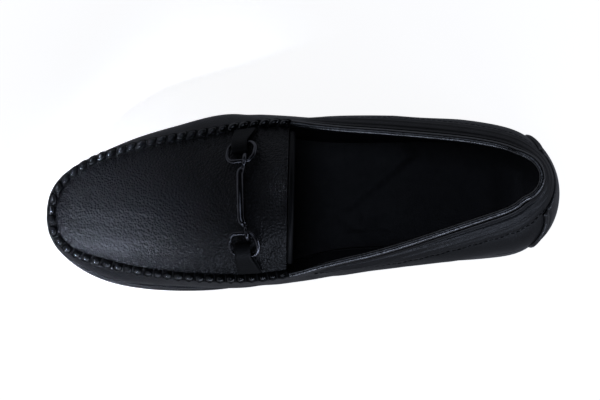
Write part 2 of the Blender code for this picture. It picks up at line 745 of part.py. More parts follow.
def add_keeper_tab(name, side, side_parameters, material):
    """A strip from the moccasin seam that loops round the far side of a ring and back, wider at the seam."""
    far = BIT_Y + side * RING_FAR
    outer, inner, rows = [], [], []
    for a in np.linspace(-TAB_WIDTH / 2, TAB_WIDTH / 2, TAB_COLUMNS):
        foot_x = BIT_X + TAB_SHIFT - TAB_DRIFT + a * (1.0 + TAB_FLARE)
        start = seam_edge_y(side_parameters, foot_x) - side * TAB_SEAM_GAP
        line = tab_line(side, start)
        tangents = np.gradient(line, axis=0)
        tangents /= np.linalg.norm(tangents, axis=1)[:, None]
        aside = np.column_stack([-tangents[:, 1], tangents[:, 0]]) * TAB_THICKNESS / 2
        spread = np.clip((line[:, 0] - far) / (start - far), 0.0, 1.0)
        x = BIT_X + TAB_SHIFT - TAB_DRIFT * spread + a * (1.0 + TAB_FLARE * spread)
        rows.append(list(range(len(outer), len(outer) + len(line))))
        outer.extend(drape(place, y, h) for place, (y, h) in zip(x, line + aside))
        inner.extend(drape(place, y, h) for place, (y, h) in zip(x, line - aside))
    return add_shell(name, np.array(outer), np.array(inner), grid_faces(rows), material)


def build():
    """Make every piece of the shoe."""
    for old in list(bpy.data.objects):
        bpy.data.objects.remove(old, do_unlink=True)

    leather = add_material("black_leather", (0.012, 0.012, 0.013), 0.42)
    piping = add_material("piping_leather", (0.014, 0.014, 0.015), 0.34)
    sock = add_material("insole_lining", (0.010, 0.010, 0.011), 0.70)
    rubber = add_material("sole_rubber", (0.022, 0.022, 0.024), 0.62)
    inlay = add_material("inlay_rubber", (0.150, 0.018, 0.028), 0.55)
    metal = add_material("gunmetal", (0.060, 0.060, 0.065), 0.22, 1.0)

    outsole = add_outsole(rubber)
    for number, points in enumerate(FLEX_GROOVES):
        cut(outsole, groove_cutter(number, points))
    recess = add_cutter("inlay_cutter", inlay_sheet(GAP, -INLAY_RECESS), inlay_sheet(GAP, INLAY_RECESS),
                        inlay_faces())
    cut(outsole, recess)
    low = INLAY_RECESS - INLAY_THICKNESS - GAP
    add_shell("tread_inlay", inlay_sheet(0.0, low), inlay_sheet(0.0, low + INLAY_THICKNESS),
              inlay_faces(), inlay)

    add_insole(sock)
    add_shell("upper", *upper_sheets(), leather)
    add_piping(piping)
    add_throat_binding(leather)
    add_back_strap(leather)
    for name, side, parameters in (("medial", 1, MEDIAL), ("lateral", -1, LATERAL)):
        add_bit_ring("bit_ring_" + name, side, metal)
        add_keeper_tab("keeper_tab_" + name, side, parameters, leather)
    add_bit_bar(metal)


build()
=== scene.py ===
"""Looks of the bit loafer: fine leather, stitches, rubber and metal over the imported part.

The sizes, the table of sections and the functions of the last are those of the part's source, read
here at a finer pitch. x runs from the heel's back, y to the medial side and z up from the floor,
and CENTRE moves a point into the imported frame. Sizes are in metres.
"""

import math
from collections import namedtuple

import bmesh
import bpy
import numpy as np
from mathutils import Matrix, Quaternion, Vector
from mathutils.kdtree import KDTree


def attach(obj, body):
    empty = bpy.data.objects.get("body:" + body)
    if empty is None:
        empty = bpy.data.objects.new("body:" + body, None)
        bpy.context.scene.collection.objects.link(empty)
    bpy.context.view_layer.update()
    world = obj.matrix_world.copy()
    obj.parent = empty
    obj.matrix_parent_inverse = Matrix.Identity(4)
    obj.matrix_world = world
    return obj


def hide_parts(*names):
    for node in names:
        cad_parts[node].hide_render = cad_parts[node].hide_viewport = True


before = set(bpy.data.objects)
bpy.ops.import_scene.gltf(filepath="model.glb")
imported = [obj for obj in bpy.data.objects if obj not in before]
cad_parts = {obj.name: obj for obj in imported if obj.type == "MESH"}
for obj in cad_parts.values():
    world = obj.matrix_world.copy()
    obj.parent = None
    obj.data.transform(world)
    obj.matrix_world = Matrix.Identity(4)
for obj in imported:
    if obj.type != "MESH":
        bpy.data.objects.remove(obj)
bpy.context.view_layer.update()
RANDOM = np.random.default_rng(43)

# Sizes of the last and the sole, as in the part's source
LENGTH = 0.292
BALL_WIDTH = 0.095
COLLAR_HEIGHT = 0.077
INSTEP_HEIGHT = 0.078
WALL = 0.002
GAP = 0.0003
HEEL_FLOOR = 0.014
BALL_FLOOR = 0.007
FLOOR_FALL = (0.075, 0.175)
LIP_RISE = 0.005
LIP_WIDTH = 0.0022
ARCH_LIFT = 0.0025
ARCH_SPAN = (0.085, 0.155)
TOE_SPRING = 0.010
SPRING_START = 0.215
SPRING_POWER = 1.8
HEEL_BEVEL = 0.0012
HEEL_BEVEL_LENGTH = 0.010
TREAD_RIM = 0.0042
EDGE_RISE = 0.0015
ARCH_BAND_SLOPE = 0.35
SIDE_GROOVE_BELOW_LIP = 0.0045
SIDE_GROOVE_DEPTH = 0.0008
GROOVE_WIDTH = 0.0018
GROOVE_DEPTH = 0.0014
INLAY_RECESS = 0.0016
INSOLE_THICKNESS = 0.0035
INSOLE_INSET = LIP_WIDTH + WALL + 3 * GAP
THROAT_X = {"medial": 0.156, "lateral": 0.1495}
FLANK_SHARE = 0.45
COLLAR_STEP = 0.0008
COLLAR_FADE = (0.125, 0.145)
RIDGE_POWER = 1.4
CROWN_POWER = 2.2
CROWN_SKEW = 0.10
TIP_HEIGHT = 0.0405
TOE_SWELL = 0.003
TOE_SWELL_START = 0.40
SEAM_INWARD = 0.0046
SEAM_UP = 0.0002
PIPING_RADIUS = 0.0019
PIPING_END = 0.0008
THROAT_RADIUS = 0.0017
THROAT_REACH = 0.93
STRAP_THICKNESS = 0.0012
STRAP_HALF_ARC = 0.037
STRAP_TAPER = 0.38
BIT_X = 0.178
BIT_Y = 0.0023
RING_NEAR = 0.0195
RING_FAR = 0.0303
RING_HALF_WIDTH = 0.0076
RING_CORNER = 0.0042
RING_SHIFT = -0.0008
RING_SKEW = 0.20
RING_WIRE = 0.0013
BAR_RADIUS = 0.0024
BAR_BEND = 0.0036
BEND_BEFORE = 0.005
BEND_AFTER = 0.003
BAR_NECK = 0.0012
NECK_RADIUS = 0.0016
BAR_SHOULDER = 0.0030
HOOK_RADIUS = 0.0012
HOOK_PLAY = 0.0002
TAB_WIDTH = 0.0088
TAB_THICKNESS = 0.0012
TAB_FOLD = 0.0034
TAB_SHIFT = -0.0003
TAB_FLARE = 0.45
TAB_DRIFT = 0.0030
TAB_SEAM_GAP = 0.0005
TAB_TOP_SHARE = 0.85
RING_HEIGHT = 2 * GAP + TAB_THICKNESS + RING_WIRE

# Fineness of the meshes: columns from heel to throat and from throat to toe on each side, strips
# across, rows down the wall, points along lines and sides of tubes
BACK = 90
FRONT = 230
PLUG_STRIPS = 52
COLLAR_ROWS = 30
COLLAR_ROW_STEP = 0.0005
COLLAR_ROWS_SHARE = 0.8
LOWER_ROWS = 11
WALL_SAMPLES = 161
SEAM_COLUMNS = 1000
SEAM_LINES = 13
CURVE_SAMPLES = 2000
CREASE_SAMPLES = 40
STRAP_GRID = (97, 61)
INSOLE_COLUMNS = (60, 70)
INSOLE_ACROSS = 60
SOLE_COLUMNS = (60, 80)
SOLE_ACROSS = 14
ROLL_SIDES = 16
WIRE_SIDES = 14
BAR_SIDES = 18
THREAD_SIDES = 6

# Angles in degrees past which an edge of a mesh is sharp
SHARP = 50.0
UPPER_SHARP = 70.0
SEAM_SHARP = 80.0
SOLE_SHARP = 32.0

# Gathered moccasin seam; the slant and the beads' reach have a medial and a lateral value
STITCH_PITCH = 0.0059
STITCH_JITTER = 0.10
LIFT_RANGE = (0.86, 1.12)
TOE_EASE = 0.35
PINCH_POWER = 1.25
BROAD_POWER = 2.4
SEAM_HEIGHT = 0.0017
SEAM_PEAK = 0.72
SEAM_RISE_SHARES = (0.16, 1.04)
SEAM_SCALLOP = 0.0010
SCALLOP_MEAN = 0.35
SEAM_SLANT = (0.10, 0.42)
SEAM_SINK = 0.0012
SWELL_MEAN = 0.45
GATHER_HEIGHT = 0.0006
GATHER_MEAN = 0.5
GATHER_REACH = 0.0045
GATHER_DECAY = 1.4
GATHER_LOSS = 0.55
GATHER_LOSS_SPAN = (0.184, 0.164)
WALL_GATHER = 0.5
WALL_GATHER_REACH = 0.6 * GATHER_REACH
THREAD_RADIUS = 0.00042
THREAD_LIFT = 0.00012
THREAD_SPAN = (0.04, 0.98)
BEAD_REACH = (0.0024, 0.0031)
BEAD_RADIUS = 0.0019
BEAD_TIP = 0.985
BEAD_PLACE = 0.42
BEAD_RISE = 0.0005
BEAD_SLANT = 0.45
BEAD_LEAST = 0.45

# Relief in lines along the collar, the back strap and the insole
Welt = namedtuple("Welt", "height width")
COLLAR_GROOVE = Welt(-0.0006, 0.0009)
COLLAR_BEAD = Welt(0.0003, 0.0008)
COLLAR_PADDING = Welt(0.0003, 0.0022)
COLLAR_SEAM = Welt(-0.0005, 0.0007)
STRAP_ROLL = Welt(0.0006, 0.0011)
STRAP_SEAM = Welt(-0.0005, 0.0008)
INSOLE_RIB = Welt(-0.0011, 0.0009)

# Collar: distances below the topline, and where along the foot the seam climbs
GROOVE_BELOW = 0.0024
BEAD_BELOW = 0.0080
SEAM_BELOW_BACK = 0.0135
SEAM_BELOW_THROAT = 0.0045
SEAM_CLIMB = (0.085, 0.150)
SEAM_WAVE = 0.00035
SEAM_WAVE_LENGTH = 0.011
RELIEF_FADE = (0.125, 0.151)
STEP_EASE = 0.0006

# Back strap: its span in shares of the wall's height, and distances from its edge
STRAP_SHARES = (0.10, 0.785)
STRAP_TAPER_SHARES = (0.40, 0.80)
STRAP_WALL_HEIGHT = 0.058
STRAP_EDGE = 0.0011
STRAP_EDGE_SHARE = 0.35
STRAP_ROLL_INSET = 0.0016
STRAP_SEAM_INSET = 0.0052

# Rows of stitches, and how they lie to the forms that they sew
Stitching = namedtuple("Stitching", "pitch length radius")
COLLAR_STITCHES = Stitching(0.0032, 0.0023, 0.00032)
TOPLINE_STITCHES = Stitching(0.0030, 0.0019, 0.00034)
STRAP_STITCHES = Stitching(0.0028, 0.0019, 0.00030)
THROAT_STITCHES = Stitching(0.0029, 0.0020, 0.00030)
STITCH_PROFILE = np.array((0.45, 0.9, 1.0, 0.9, 0.45))
STITCH_SINK = 0.0004
COLLAR_STITCH_BELOW = 0.0013
COLLAR_STITCH_LIFT = 0.00015
COLLAR_STITCH_END = 0.012
TOPLINE_STITCH_INWARD = 0.55 * PIPING_RADIUS
STRAP_STITCH_SHARES = (STRAP_SHARES[0] + 0.05, STRAP_SHARES[1] - 0.04)
THROAT_STITCH_LIFT = 0.00005
THROAT_STITCH_AHEAD = 0.0016

# Edge of a keeper tab
TAB_EDGE = 0.0008
TAB_EDGE_SHARE = 0.55

# Insole: cupped edge, heel pad, pressed edge across the arch and ribs
CUP_HEIGHT = 0.0016
CUP_REACH = 0.006
CUP_END = (0.09, 0.17)
PAD_DEPTH = 0.0006
PAD_EDGE = (0.012, 0.017)
PAD_END = (0.028, 0.036)
ARCH_LINE = ((0.119, 0.005), (0.078, -0.027))
ARCH_ENDS = ((-0.05, 0.08), (0.92, 1.05))
ARCH_EDGE_HEIGHT = 0.0012
ARCH_EDGE_EASE = 0.0012
ARCH_EDGE_REACH = 0.02
RIB_XS = (0.0985, 0.1025, 0.1085, 0.1130, 0.1180, 0.1230)
RIB_SPAN = (0.0045, 0.0165)
RIB_EASE = 0.001
RIB_LEAN = 0.08

Section = namedtuple(
    "Section",
    "x medial lateral out_medial out_lateral in_medial in_lateral rim_medial rim_lateral tread",
)
SECTIONS = (
    Section(0.021, 0.430, -0.474, 0.0002, -0.0025, 0.0167, 0.0116, 0.997, 0.995, 0.0042),
    Section(0.058, 0.615, -0.688, 0.0018, -0.0018, 0.0188, 0.0142, 0.984, 0.980, 0.0042),
    Section(0.123, 0.695, -0.787, 0.0028, 0.0010, 0.0167, 0.0146, 0.945, 0.935, 0.0042),
    Section(0.243, 0.707, -0.817, 0.0062, 0.0055, 0.0115, 0.0133, 0.855, 0.838, 0.0045),
    Section(0.360, 0.652, -0.838, 0.0112, 0.0074, 0.0054, 0.0110, 0.776, 0.754, 0.0095),
    Section(0.452, 0.680, -0.884, 0.0126, 0.0062, 0.0034, 0.0083, 0.737, 0.714, 0.0140),
    Section(0.527, 0.797, -0.968, 0.0092, 0.0034, 0.0008, 0.0056, 0.705, 0.679, 0.0140),
    Section(0.651, 0.963, -1.026, 0.0025, 0.0032, 0.0008, 0.0097, 0.628, 0.609, 0.0060),
    Section(0.723, 0.975, -0.964, 0.0000, 0.0019, 0.0010, 0.0078, 0.590, 0.577, 0.0042),
    Section(0.822, 0.926, -0.832, -0.0006, 0.0004, 0.0029, 0.0048, 0.551, 0.545, 0.0042),
    Section(0.901, 0.801, -0.663, -0.0008, -0.0012, 0.0032, 0.0019, 0.532, 0.526, 0.0042),
    Section(0.962, 0.569, -0.465, -0.0006, -0.0016, 0.0010, 0.0024, 0.519, 0.519, 0.0042),
    Section(0.990, 0.365, -0.250, -0.0006, -0.0014, 0.0012, 0.0022, 0.513, 0.513, 0.0042),
)
EndSection = namedtuple("EndSection", "x y out inset rim tread")
HEEL_END = EndSection(0.0, -0.021, -0.0010, 0.0095, 1.0, 0.0042)
TOE_END = EndSection(1.0, 0.052, -0.0010, 0.0018, 0.513, 0.0042)

FLEX_GROOVES = (
    ((0.0604, 0.0290), (0.0531, -0.0242), (0.0570, -0.0327)),
    ((0.0648, 0.0288), (0.0576, -0.0225), (0.0610, -0.0327)),
    ((0.1734, 0.0328), (0.1648, -0.0086), (0.1354, -0.0355)),
    ((0.1780, 0.0345), (0.1694, -0.0090), (0.1405, -0.0362)),
    ((0.2415, 0.0394), (0.2390, -0.0112), (0.1927, -0.0421)),
    ((0.2458, 0.0374), (0.2435, -0.0108), (0.2036, -0.0389)),
)
INLAY_LATERAL_RAIL = ((0.0702, -0.0186), (0.1591, -0.0052))
INLAY_MEDIAL_RAIL = ((0.0916, 0.0002), (0.1600, 0.0006))
INLAY_STATIONS = 9

# Fine lines of the tread in millimetres, x from the heel and y: fans of lines from one hub each,
# then single bent lines
LineFan = namedtuple("LineFan", "hub ends")
TREAD_FANS = (
    LineFan((23.5, -8.1), ((9.4, -14.5), (45.0, -15.9), (31.5, -29.9))),
    LineFan((273.0, 10.9), ((246.4, 36.6), (256.2, 36.5), (273.7, 30.5), (287.0, 13.1), (289.4, 3.2),
                            (285.4, -10.2), (246.0, 24.3), (244.7, -10.6))),
    LineFan((230.0, -22.0), ((279.3, -17.0), (243.2, -31.3), (224.8, -35.7))),
)
TREAD_LINES = (
    ((29.4, 29.1), (35.5, 14.7)),
    ((43.2, 28.2), (32.0, 7.2), (23.5, -8.1)),
    ((57.1, 29.9), (36.6, 7.0), (24.5, -7.0)),
    ((37.7, 5.4), (51.2, -31.7)),
    ((58.5, -21.4), (96.4, 10.9), (87.8, 25.1)),
    ((96.4, 10.9), (100.1, 5.4)),
    ((101.6, 5.4), (112.4, 11.1), (122.1, 17.3)),
    ((102.7, 4.9), (166.1, 6.9)),
    ((68.2, -23.6), (111.1, -24.1), (145.0, -24.5)),
    ((76.2, -22.8), (96.7, -19.4), (163.1, -9.4)),
    ((172.6, 6.1), (228.6, 8.2), (245.4, 9.0), (273.0, 10.9)),
    ((170.6, -7.1), (237.0, -11.5)),
    ((171.3, -8.4), (220.3, -21.1)),
    ((155.0, -24.5), (183.4, -22.6), (217.7, -22.7)),
    ((205.3, 44.0), (229.6, 33.2), (239.6, 28.1)),
    ((244.6, -11.8), (280.1, -13.4)),
    ((66.6, -19.9), (90.9, 0.2)),
)
FINE_LINE_WIDTH = 0.0009
FINE_LINE_DEPTH = 0.0006

# Sections of the tread's cuts: shares of half the width, and of the depth up from the tread
SQUARE_CUT = ((1.0, -0.4), (1.0, 0.0), (1.0, 1.0), (-1.0, 1.0), (-1.0, 0.0), (-1.0, -0.4))
POINTED_CUT = ((1.4, -0.4), (1.0, 0.0), (0.02, 1.0), (-0.02, 1.0), (-1.0, 0.0), (-1.4, -0.4))
CUT_STEP = 0.008

# Soft creases of the leather. On the plug a place is the share of the way from throat to toe and
# the place across, -1 lateral to +1 medial; on the walls it is x and the share of the height.
Crease = namedtuple("Crease", "panel start end width depth")
CREASES = (
    Crease("plug", (0.02, 0.62), (0.12, 0.93), 0.0028, 0.0011),
    Crease("plug", (0.10, 0.50), (0.20, 0.88), 0.0050, -0.0004),
    Crease("plug", (0.30, 0.30), (0.33, 0.85), 0.0060, 0.0005),
    Crease("plug", (0.30, -0.30), (0.34, -0.85), 0.0060, 0.0005),
    Crease("plug", (0.22, -0.40), (0.25, 0.35), 0.0070, 0.0004),
    Crease("medial", (0.150, 0.90), (0.128, 0.35), 0.0055, 0.0008),
    Crease("medial", (0.176, 0.80), (0.168, 0.25), 0.0060, 0.0007),
    Crease("medial", (0.096, 0.62), (0.062, 0.45), 0.0075, 0.0006),
    Crease("lateral", (0.150, 0.85), (0.126, 0.30), 0.0060, 0.0008),
    Crease("lateral", (0.178, 0.80), (0.168, 0.20), 0.0060, 0.0006),
    Crease("lateral", (0.090, 0.60), (0.055, 0.42), 0.0075, 0.0006),
)
CREASE_FADE = 0.7


# Sums used throughout

def between(start, end, share):
    """The value at a share of the way from start to end."""
    return start + (end - start) * share


def part_way(low, high, x):
    """Share of the way from low to high that x has come, from 0 to 1."""
    return np.clip((x - low) / (high - low), 0.0, 1.0)


def smooth_step(low, high, x):
    """Rise from 0 at low to 1 at high with flat ends."""
    s = part_way(low, high, x)
    return s * s * (3.0 - 2.0 * s)


def bump_at(middle, width, x):
    """A round bump of height 1."""
    return np.exp(-((x - middle) / width) ** 2)


def welt(form, middle, x):
    """Relief of a raised or pressed line at a distance x, where the line lies at middle."""
    return form.height * bump_at(middle, form.width, x)


def round_edge(width, distance):
    """Rise of a rounded edge from 0 at the edge to 1 at its width inward."""
    return np.sqrt(1.0 - (1.0 - part_way(0.0, width, distance)) ** 2)


def unit(vectors):
    """Vectors brought to length 1."""
    return vectors / np.linalg.norm(vectors, axis=-1, keepdims=True)


def along_length(points):
    """Distance of each point along a line of points."""
    return np.concatenate([[0.0], np.cumsum(np.linalg.norm(np.diff(points, axis=0), axis=1))])


def at_length(points, lengths):
    """Points at distances along a line of points."""
    s = along_length(points)
    return np.column_stack([np.interp(lengths, s, column) for column in points.T])


def aside_of(line):
    """Directions square to a line of points with two columns."""
    along = unit(np.gradient(line, axis=0))
    return np.column_stack([-along[:, 1], along[:, 0]])


def smooth_path(points, steps):
    """A smooth curve through points of any number of columns, with even steps between each two."""
    points = np.asarray(points, dtype=float)
    padded = np.vstack([2 * points[0] - points[1], points, 2 * points[-1] - points[-2]])
    u = np.linspace(0.0, 1.0, steps, endpoint=False)[:, None]
    pieces = []
    for a, b, c, d in zip(padded, padded[1:], padded[2:], padded[3:]):
        pieces.append(b + 0.5 * u * (c - a + u * (2 * a - 5 * b + 4 * c - d + u * (3 * (b - c) + d - a))))
    return np.vstack([*pieces, points[-1:]])


# Form of the last

def toe_spring(x):
    """Height that the toe curls up to beyond the ball."""
    return TOE_SPRING * part_way(SPRING_START, LENGTH, x) ** SPRING_POWER


def tread_height(x):
    """Height of the tread: flat at heel and ball, lifted at the arch, the toe and the heel's end."""
    arch = ARCH_LIFT * np.sin(math.pi * part_way(*ARCH_SPAN, x)) ** 2
    return toe_spring(x) + arch + HEEL_BEVEL * part_way(HEEL_BEVEL_LENGTH, 0.0, x) ** 2


def floor_height(x):
    """Height of the cup floor inside the sole."""
    return toe_spring(x) + between(HEEL_FLOOR, BALL_FLOOR, smooth_step(*FLOOR_FALL, x))


def lip_height(x):
    """Height of the lip that holds the foot of the upper."""
    return floor_height(x) + LIP_RISE


class Loop:
    """The closed outline of the sole with the columns of the sections as smooth periodic curves."""

    def __init__(self):
        medial = [(s.x, s.medial, s.out_medial, s.in_medial, s.rim_medial, s.tread) for s in SECTIONS]
        lateral = [(s.x, s.lateral, s.out_lateral, s.in_lateral, s.rim_lateral, TREAD_RIM)
                   for s in reversed(SECTIONS)]
        sizes = (LENGTH, BALL_WIDTH / 2, 1.0, 1.0, COLLAR_HEIGHT, 1.0)
        self.rows = np.array([HEEL_END, *medial, TOE_END, *lateral]) * sizes
        self.steps = np.linalg.norm(np.roll(self.rows, -1, axis=0)[:, :2] - self.rows[:, :2], axis=1)
        self.knots = np.concatenate([[0.0], np.cumsum(self.steps)])
        self.bends = self.second_derivatives()
        self.total = self.knots[-1]
        self.toe = self.knots[len(medial) + 1]

    def second_derivatives(self):
        """Solve the periodic cubic spline through the rows."""
        before, after = np.roll(self.steps, 1), self.steps
        ones = np.eye(len(self.rows))
        matrix = 2.0 * np.diag(before + after)
        matrix += before[:, None] * np.roll(ones, -1, axis=1) + after[:, None] * np.roll(ones, 1, axis=1)
        slopes = (np.roll(self.rows, -1, axis=0) - self.rows) / after[:, None]
        return np.linalg.solve(matrix, 6.0 * (slopes - np.roll(slopes, 1, axis=0)))

    def at(self, t):
        """Columns and outward plan normals at the distances t along the loop."""
        t = np.mod(np.atleast_1d(t), self.total)
        i = np.clip(np.searchsorted(self.knots, t, side="right") - 1, 0, len(self.rows) - 1)
        j = (i + 1) % len(self.rows)
        h = self.steps[i][:, None]
        b = (t - self.knots[i])[:, None] / h
        a = 1.0 - b
        low, high, bend_low, bend_high = self.rows[i], self.rows[j], self.bends[i], self.bends[j]
        bow = (a ** 3 - a) * bend_low + (b ** 3 - b) * bend_high
        tilt = (1.0 - 3.0 * a ** 2) * bend_low + (3.0 * b ** 2 - 1.0) * bend_high
        slopes = (high - low) / h + tilt * h / 6.0
        normal = unit(np.column_stack([-slopes[:, 1], slopes[:, 0]]))
        return a * low + b * high + bow * h ** 2 / 6.0, normal


LOOP = Loop()
OUTLINE = LOOP.at(np.linspace(0.0, LOOP.total, CURVE_SAMPLES))[0][:, :2]
CENTRE = np.append((OUTLINE.min(axis=0) + OUTLINE.max(axis=0)) / 2, 0.0)
SIDE_START = {"medial": 0.0, "lateral": LOOP.total}


def x_at(t):
    """Places along the foot at the distances t along the loop."""
    return LOOP.at(t)[0][:, 0]


def parameter_at(x, side):
    """Distance along the loop at which one side, from heel to toe, reaches x."""
    dense = np.linspace(SIDE_START[side], LOOP.toe, CURVE_SAMPLES)
    return np.interp(x, np.maximum.accumulate(x_at(dense)), dense)


THROAT = {side: parameter_at(x, side) for side, x in THROAT_X.items()}


def side_columns(side, back, front):
    """Distances along the loop of one side's columns, from the heel over the throat to the toe."""
    rear = np.linspace(SIDE_START[side], THROAT[side], back + 1)
    return np.concatenate([rear, np.linspace(THROAT[side], LOOP.toe, front + 1)[1:]])


def columns_around(back, front):
    """Once round the shoe: the medial side from heel to toe, then the lateral side back."""
    medial, lateral = (side_columns(side, back, front) for side in THROAT)
    return np.concatenate([medial, lateral[-2:0:-1]])


AROUND = columns_around(BACK, FRONT)
SEAM = AROUND[BACK:len(AROUND) - BACK + 1]


def ring(t, offset, height):
    """Points at an offset from the sole's outline, at given heights."""
    values, normal = LOOP.at(t)
    plan = values[:, :2] + normal * np.reshape(offset, (-1, 1))
    return np.column_stack([plan, np.broadcast_to(height, len(values))])


def wall_section(t, share):
    """Outer points of the wall at shares of its height, its normals and its rising directions."""
    values, normal = LOOP.at(t)
    x, _, out, inset, rim, _ = values.T
    foot = -(LIP_WIDTH + GAP)
    foot_height = lip_height(x) + 2 * GAP
    rise = np.minimum(share / FLANK_SHARE, 1.0)
    fall = np.maximum((share - FLANK_SHARE) / (1.0 - FLANK_SHARE), 0.0)
    offset = foot + (out - foot) * (1.0 - (1.0 - rise) ** 2) - inset * fall ** 2
    lean = (out - foot) * 2.0 * (1.0 - rise) / FLANK_SHARE - inset * 2.0 * fall / (1.0 - FLANK_SHARE)
    climb = rim - foot_height
    size = np.hypot(lean, climb)
    points = ring(t, offset, foot_height + climb * share)
    outward = np.column_stack([normal * (climb / size)[:, None], -lean / size])
    upward = np.column_stack([normal * (lean / size)[:, None], climb / size])
    return points, outward, upward


def seam_edge(t):
    """Points where the plug meets the moccasin seam."""
    normal = LOOP.at(t)[1]
    return wall_section(t, 1.0)[0] + np.column_stack([-normal * SEAM_INWARD, np.full(len(normal), SEAM_UP)])


def crown(w):
    """Height share of the plug across the foot: 0 at both edges, 1 near the medial side of the middle."""
    return 1.0 - np.abs(w - CROWN_SKEW * (1.0 - w ** 2)) ** CROWN_POWER


def ridge_height(x):
    """Height of the plug along its ridge, from the throat to the tip."""
    s = part_way(sum(THROAT_X.values()) / 2, LENGTH, x)
    swell = TOE_SWELL * np.sin(math.pi * part_way(TOE_SWELL_START, 1.0, s))
    return between(TIP_HEIGHT, INSTEP_HEIGHT, (1.0 - s) ** RIDGE_POWER) + swell


def plug_point(forward, w):
    """Points of the plug at shares of the way from throat to toe and places across it."""
    forward, w = np.broadcast_arrays(forward, w)
    medial, lateral = (seam_edge(between(start, LOOP.toe, forward)) for start in THROAT.values())
    points = between(lateral, medial, ((1.0 + w) / 2)[:, None])
    middle = (medial + lateral) / 2
    points[:, 2] += np.maximum(ridge_height(middle[:, 0]) - middle[:, 2], 0.0) * crown(w)
    return points


def plug_normal(forward, w):
    """Outward normals of the plug, from small steps along and across it."""
    ahead, across = 0.001, 0.01
    along = plug_point(forward + ahead, w) - plug_point(forward - ahead, w)
    right, left = (plug_point(forward, np.clip(w + step, -1.0, 1.0)) for step in (across, -across))
    return unit(np.cross(along, right - left))


def drape(x, y, height):
    """Points at heights above the plug over the places x, y, found by a few steps of search."""
    x, y, height = np.broadcast_arrays(x, y, height)
    forward, w = np.full(len(x), 0.17), np.zeros(len(x))
    ahead, across = 0.002, 0.02
    for _ in range(8):
        here = plug_point(forward, w)[:, :2]
        d_forward = (plug_point(forward + ahead, w)[:, :2] - here) / ahead
        d_w = (plug_point(forward, w + across)[:, :2] - here) / across
        miss = np.column_stack([x, y]) - here
        area = d_forward[:, 0] * d_w[:, 1] - d_forward[:, 1] * d_w[:, 0]
        forward = forward + (miss[:, 0] * d_w[:, 1] - miss[:, 1] * d_w[:, 0]) / area
        w = w + (d_forward[:, 0] * miss[:, 1] - d_forward[:, 1] * miss[:, 0]) / area
        forward, w = np.clip(forward, 0.004, 0.96), np.clip(w, -0.97, 0.97)
    return plug_point(forward, w) + plug_normal(forward, w) * height[:, None]


# Mesh helpers

def add_mesh(name, vertices, faces, materials, kinds=None, sharp=SHARP):
    """Make one object from points and faces, facing out, smooth apart from its sharp edges."""
    mesh = bpy.data.meshes.new(name)
    mesh.from_pydata((np.asarray(vertices) - CENTRE).tolist(), [], [list(map(int, f)) for f in faces])
    for material in materials:
        mesh.materials.append(material)
    if kinds is not None:
        mesh.polygons.foreach_set("material_index", np.asarray(kinds, dtype=np.int32))
    work = bmesh.new()
    work.from_mesh(mesh)
    bmesh.ops.recalc_face_normals(work, faces=work.faces)
    work.to_mesh(mesh)
    work.free()
    soften(mesh, sharp)
    piece = bpy.data.objects.new(name, mesh)
    bpy.context.scene.collection.objects.link(piece)
    return piece


def soften(mesh, sharp):
    """Shade a mesh smooth apart from the edges past an angle in degrees."""
    mesh.shade_smooth()
    mesh.set_sharp_from_angle(angle=math.radians(sharp))


def dress(piece, slot, *nodes):
    """Let a piece ride on the shoe and hide the solids that it stands for; the slot is not used."""
    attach(piece, "root")
    if nodes:
        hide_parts(*nodes)


def numbers(rows, columns, first=0):
    """Point numbers of a grid, row by row."""
    return first + np.arange(rows * columns).reshape(rows, columns)


def grid_faces(rows, closed=False):
    """Quads between neighbouring rows of point numbers."""
    faces = []
    for low, high in zip(rows, rows[1:]):
        if closed:
            low, high = np.append(low, low[0]), np.append(high, high[0])
        faces.extend(np.column_stack([low[:-1], high[:-1], high[1:], low[1:]]).tolist())
    return faces


def fan_faces(point, row):
    """Triangles from one point to each two neighbours in a row of point numbers."""
    return [[point, a, b] for a, b in zip(row, row[1:])]


def capped_faces(rows):
    """Faces round a row of closed loops of point numbers, with both ends closed."""
    return grid_faces(rows, closed=True) + [rows[0].tolist(), rows[-1].tolist()]


def add_loft(name, loops, materials, sharp=SHARP):
    """A solid through a row of closed loops of points."""
    faces = capped_faces(numbers(*loops.shape[:2]))
    return add_mesh(name, loops.reshape(-1, 3), faces, materials, sharp=sharp)


def add_shell(name, outer, inner, faces, materials, kinds=None, sharp=SHARP):
    """A wall between two like sheets of points: both of them, and the sides along their free edges.

    Kinds number the materials of the outer faces; the inner ones then have the last material.
    """
    count = len(outer)
    uses = {}
    for face in faces:
        for a, b in zip(face, face[1:] + face[:1]):
            key = (min(a, b), max(a, b))
            uses[key] = None if key in uses else (a, b)
    sides = [[a, b, b + count, a + count] for a, b in filter(None, uses.values())]
    back = [[v + count for v in reversed(face)] for face in faces]
    if kinds is not None:
        kinds = kinds + [len(materials) - 1] * len(back) + [0] * len(sides)
    return add_mesh(name, np.vstack([outer, inner]), faces + back + sides, materials, kinds, sharp)


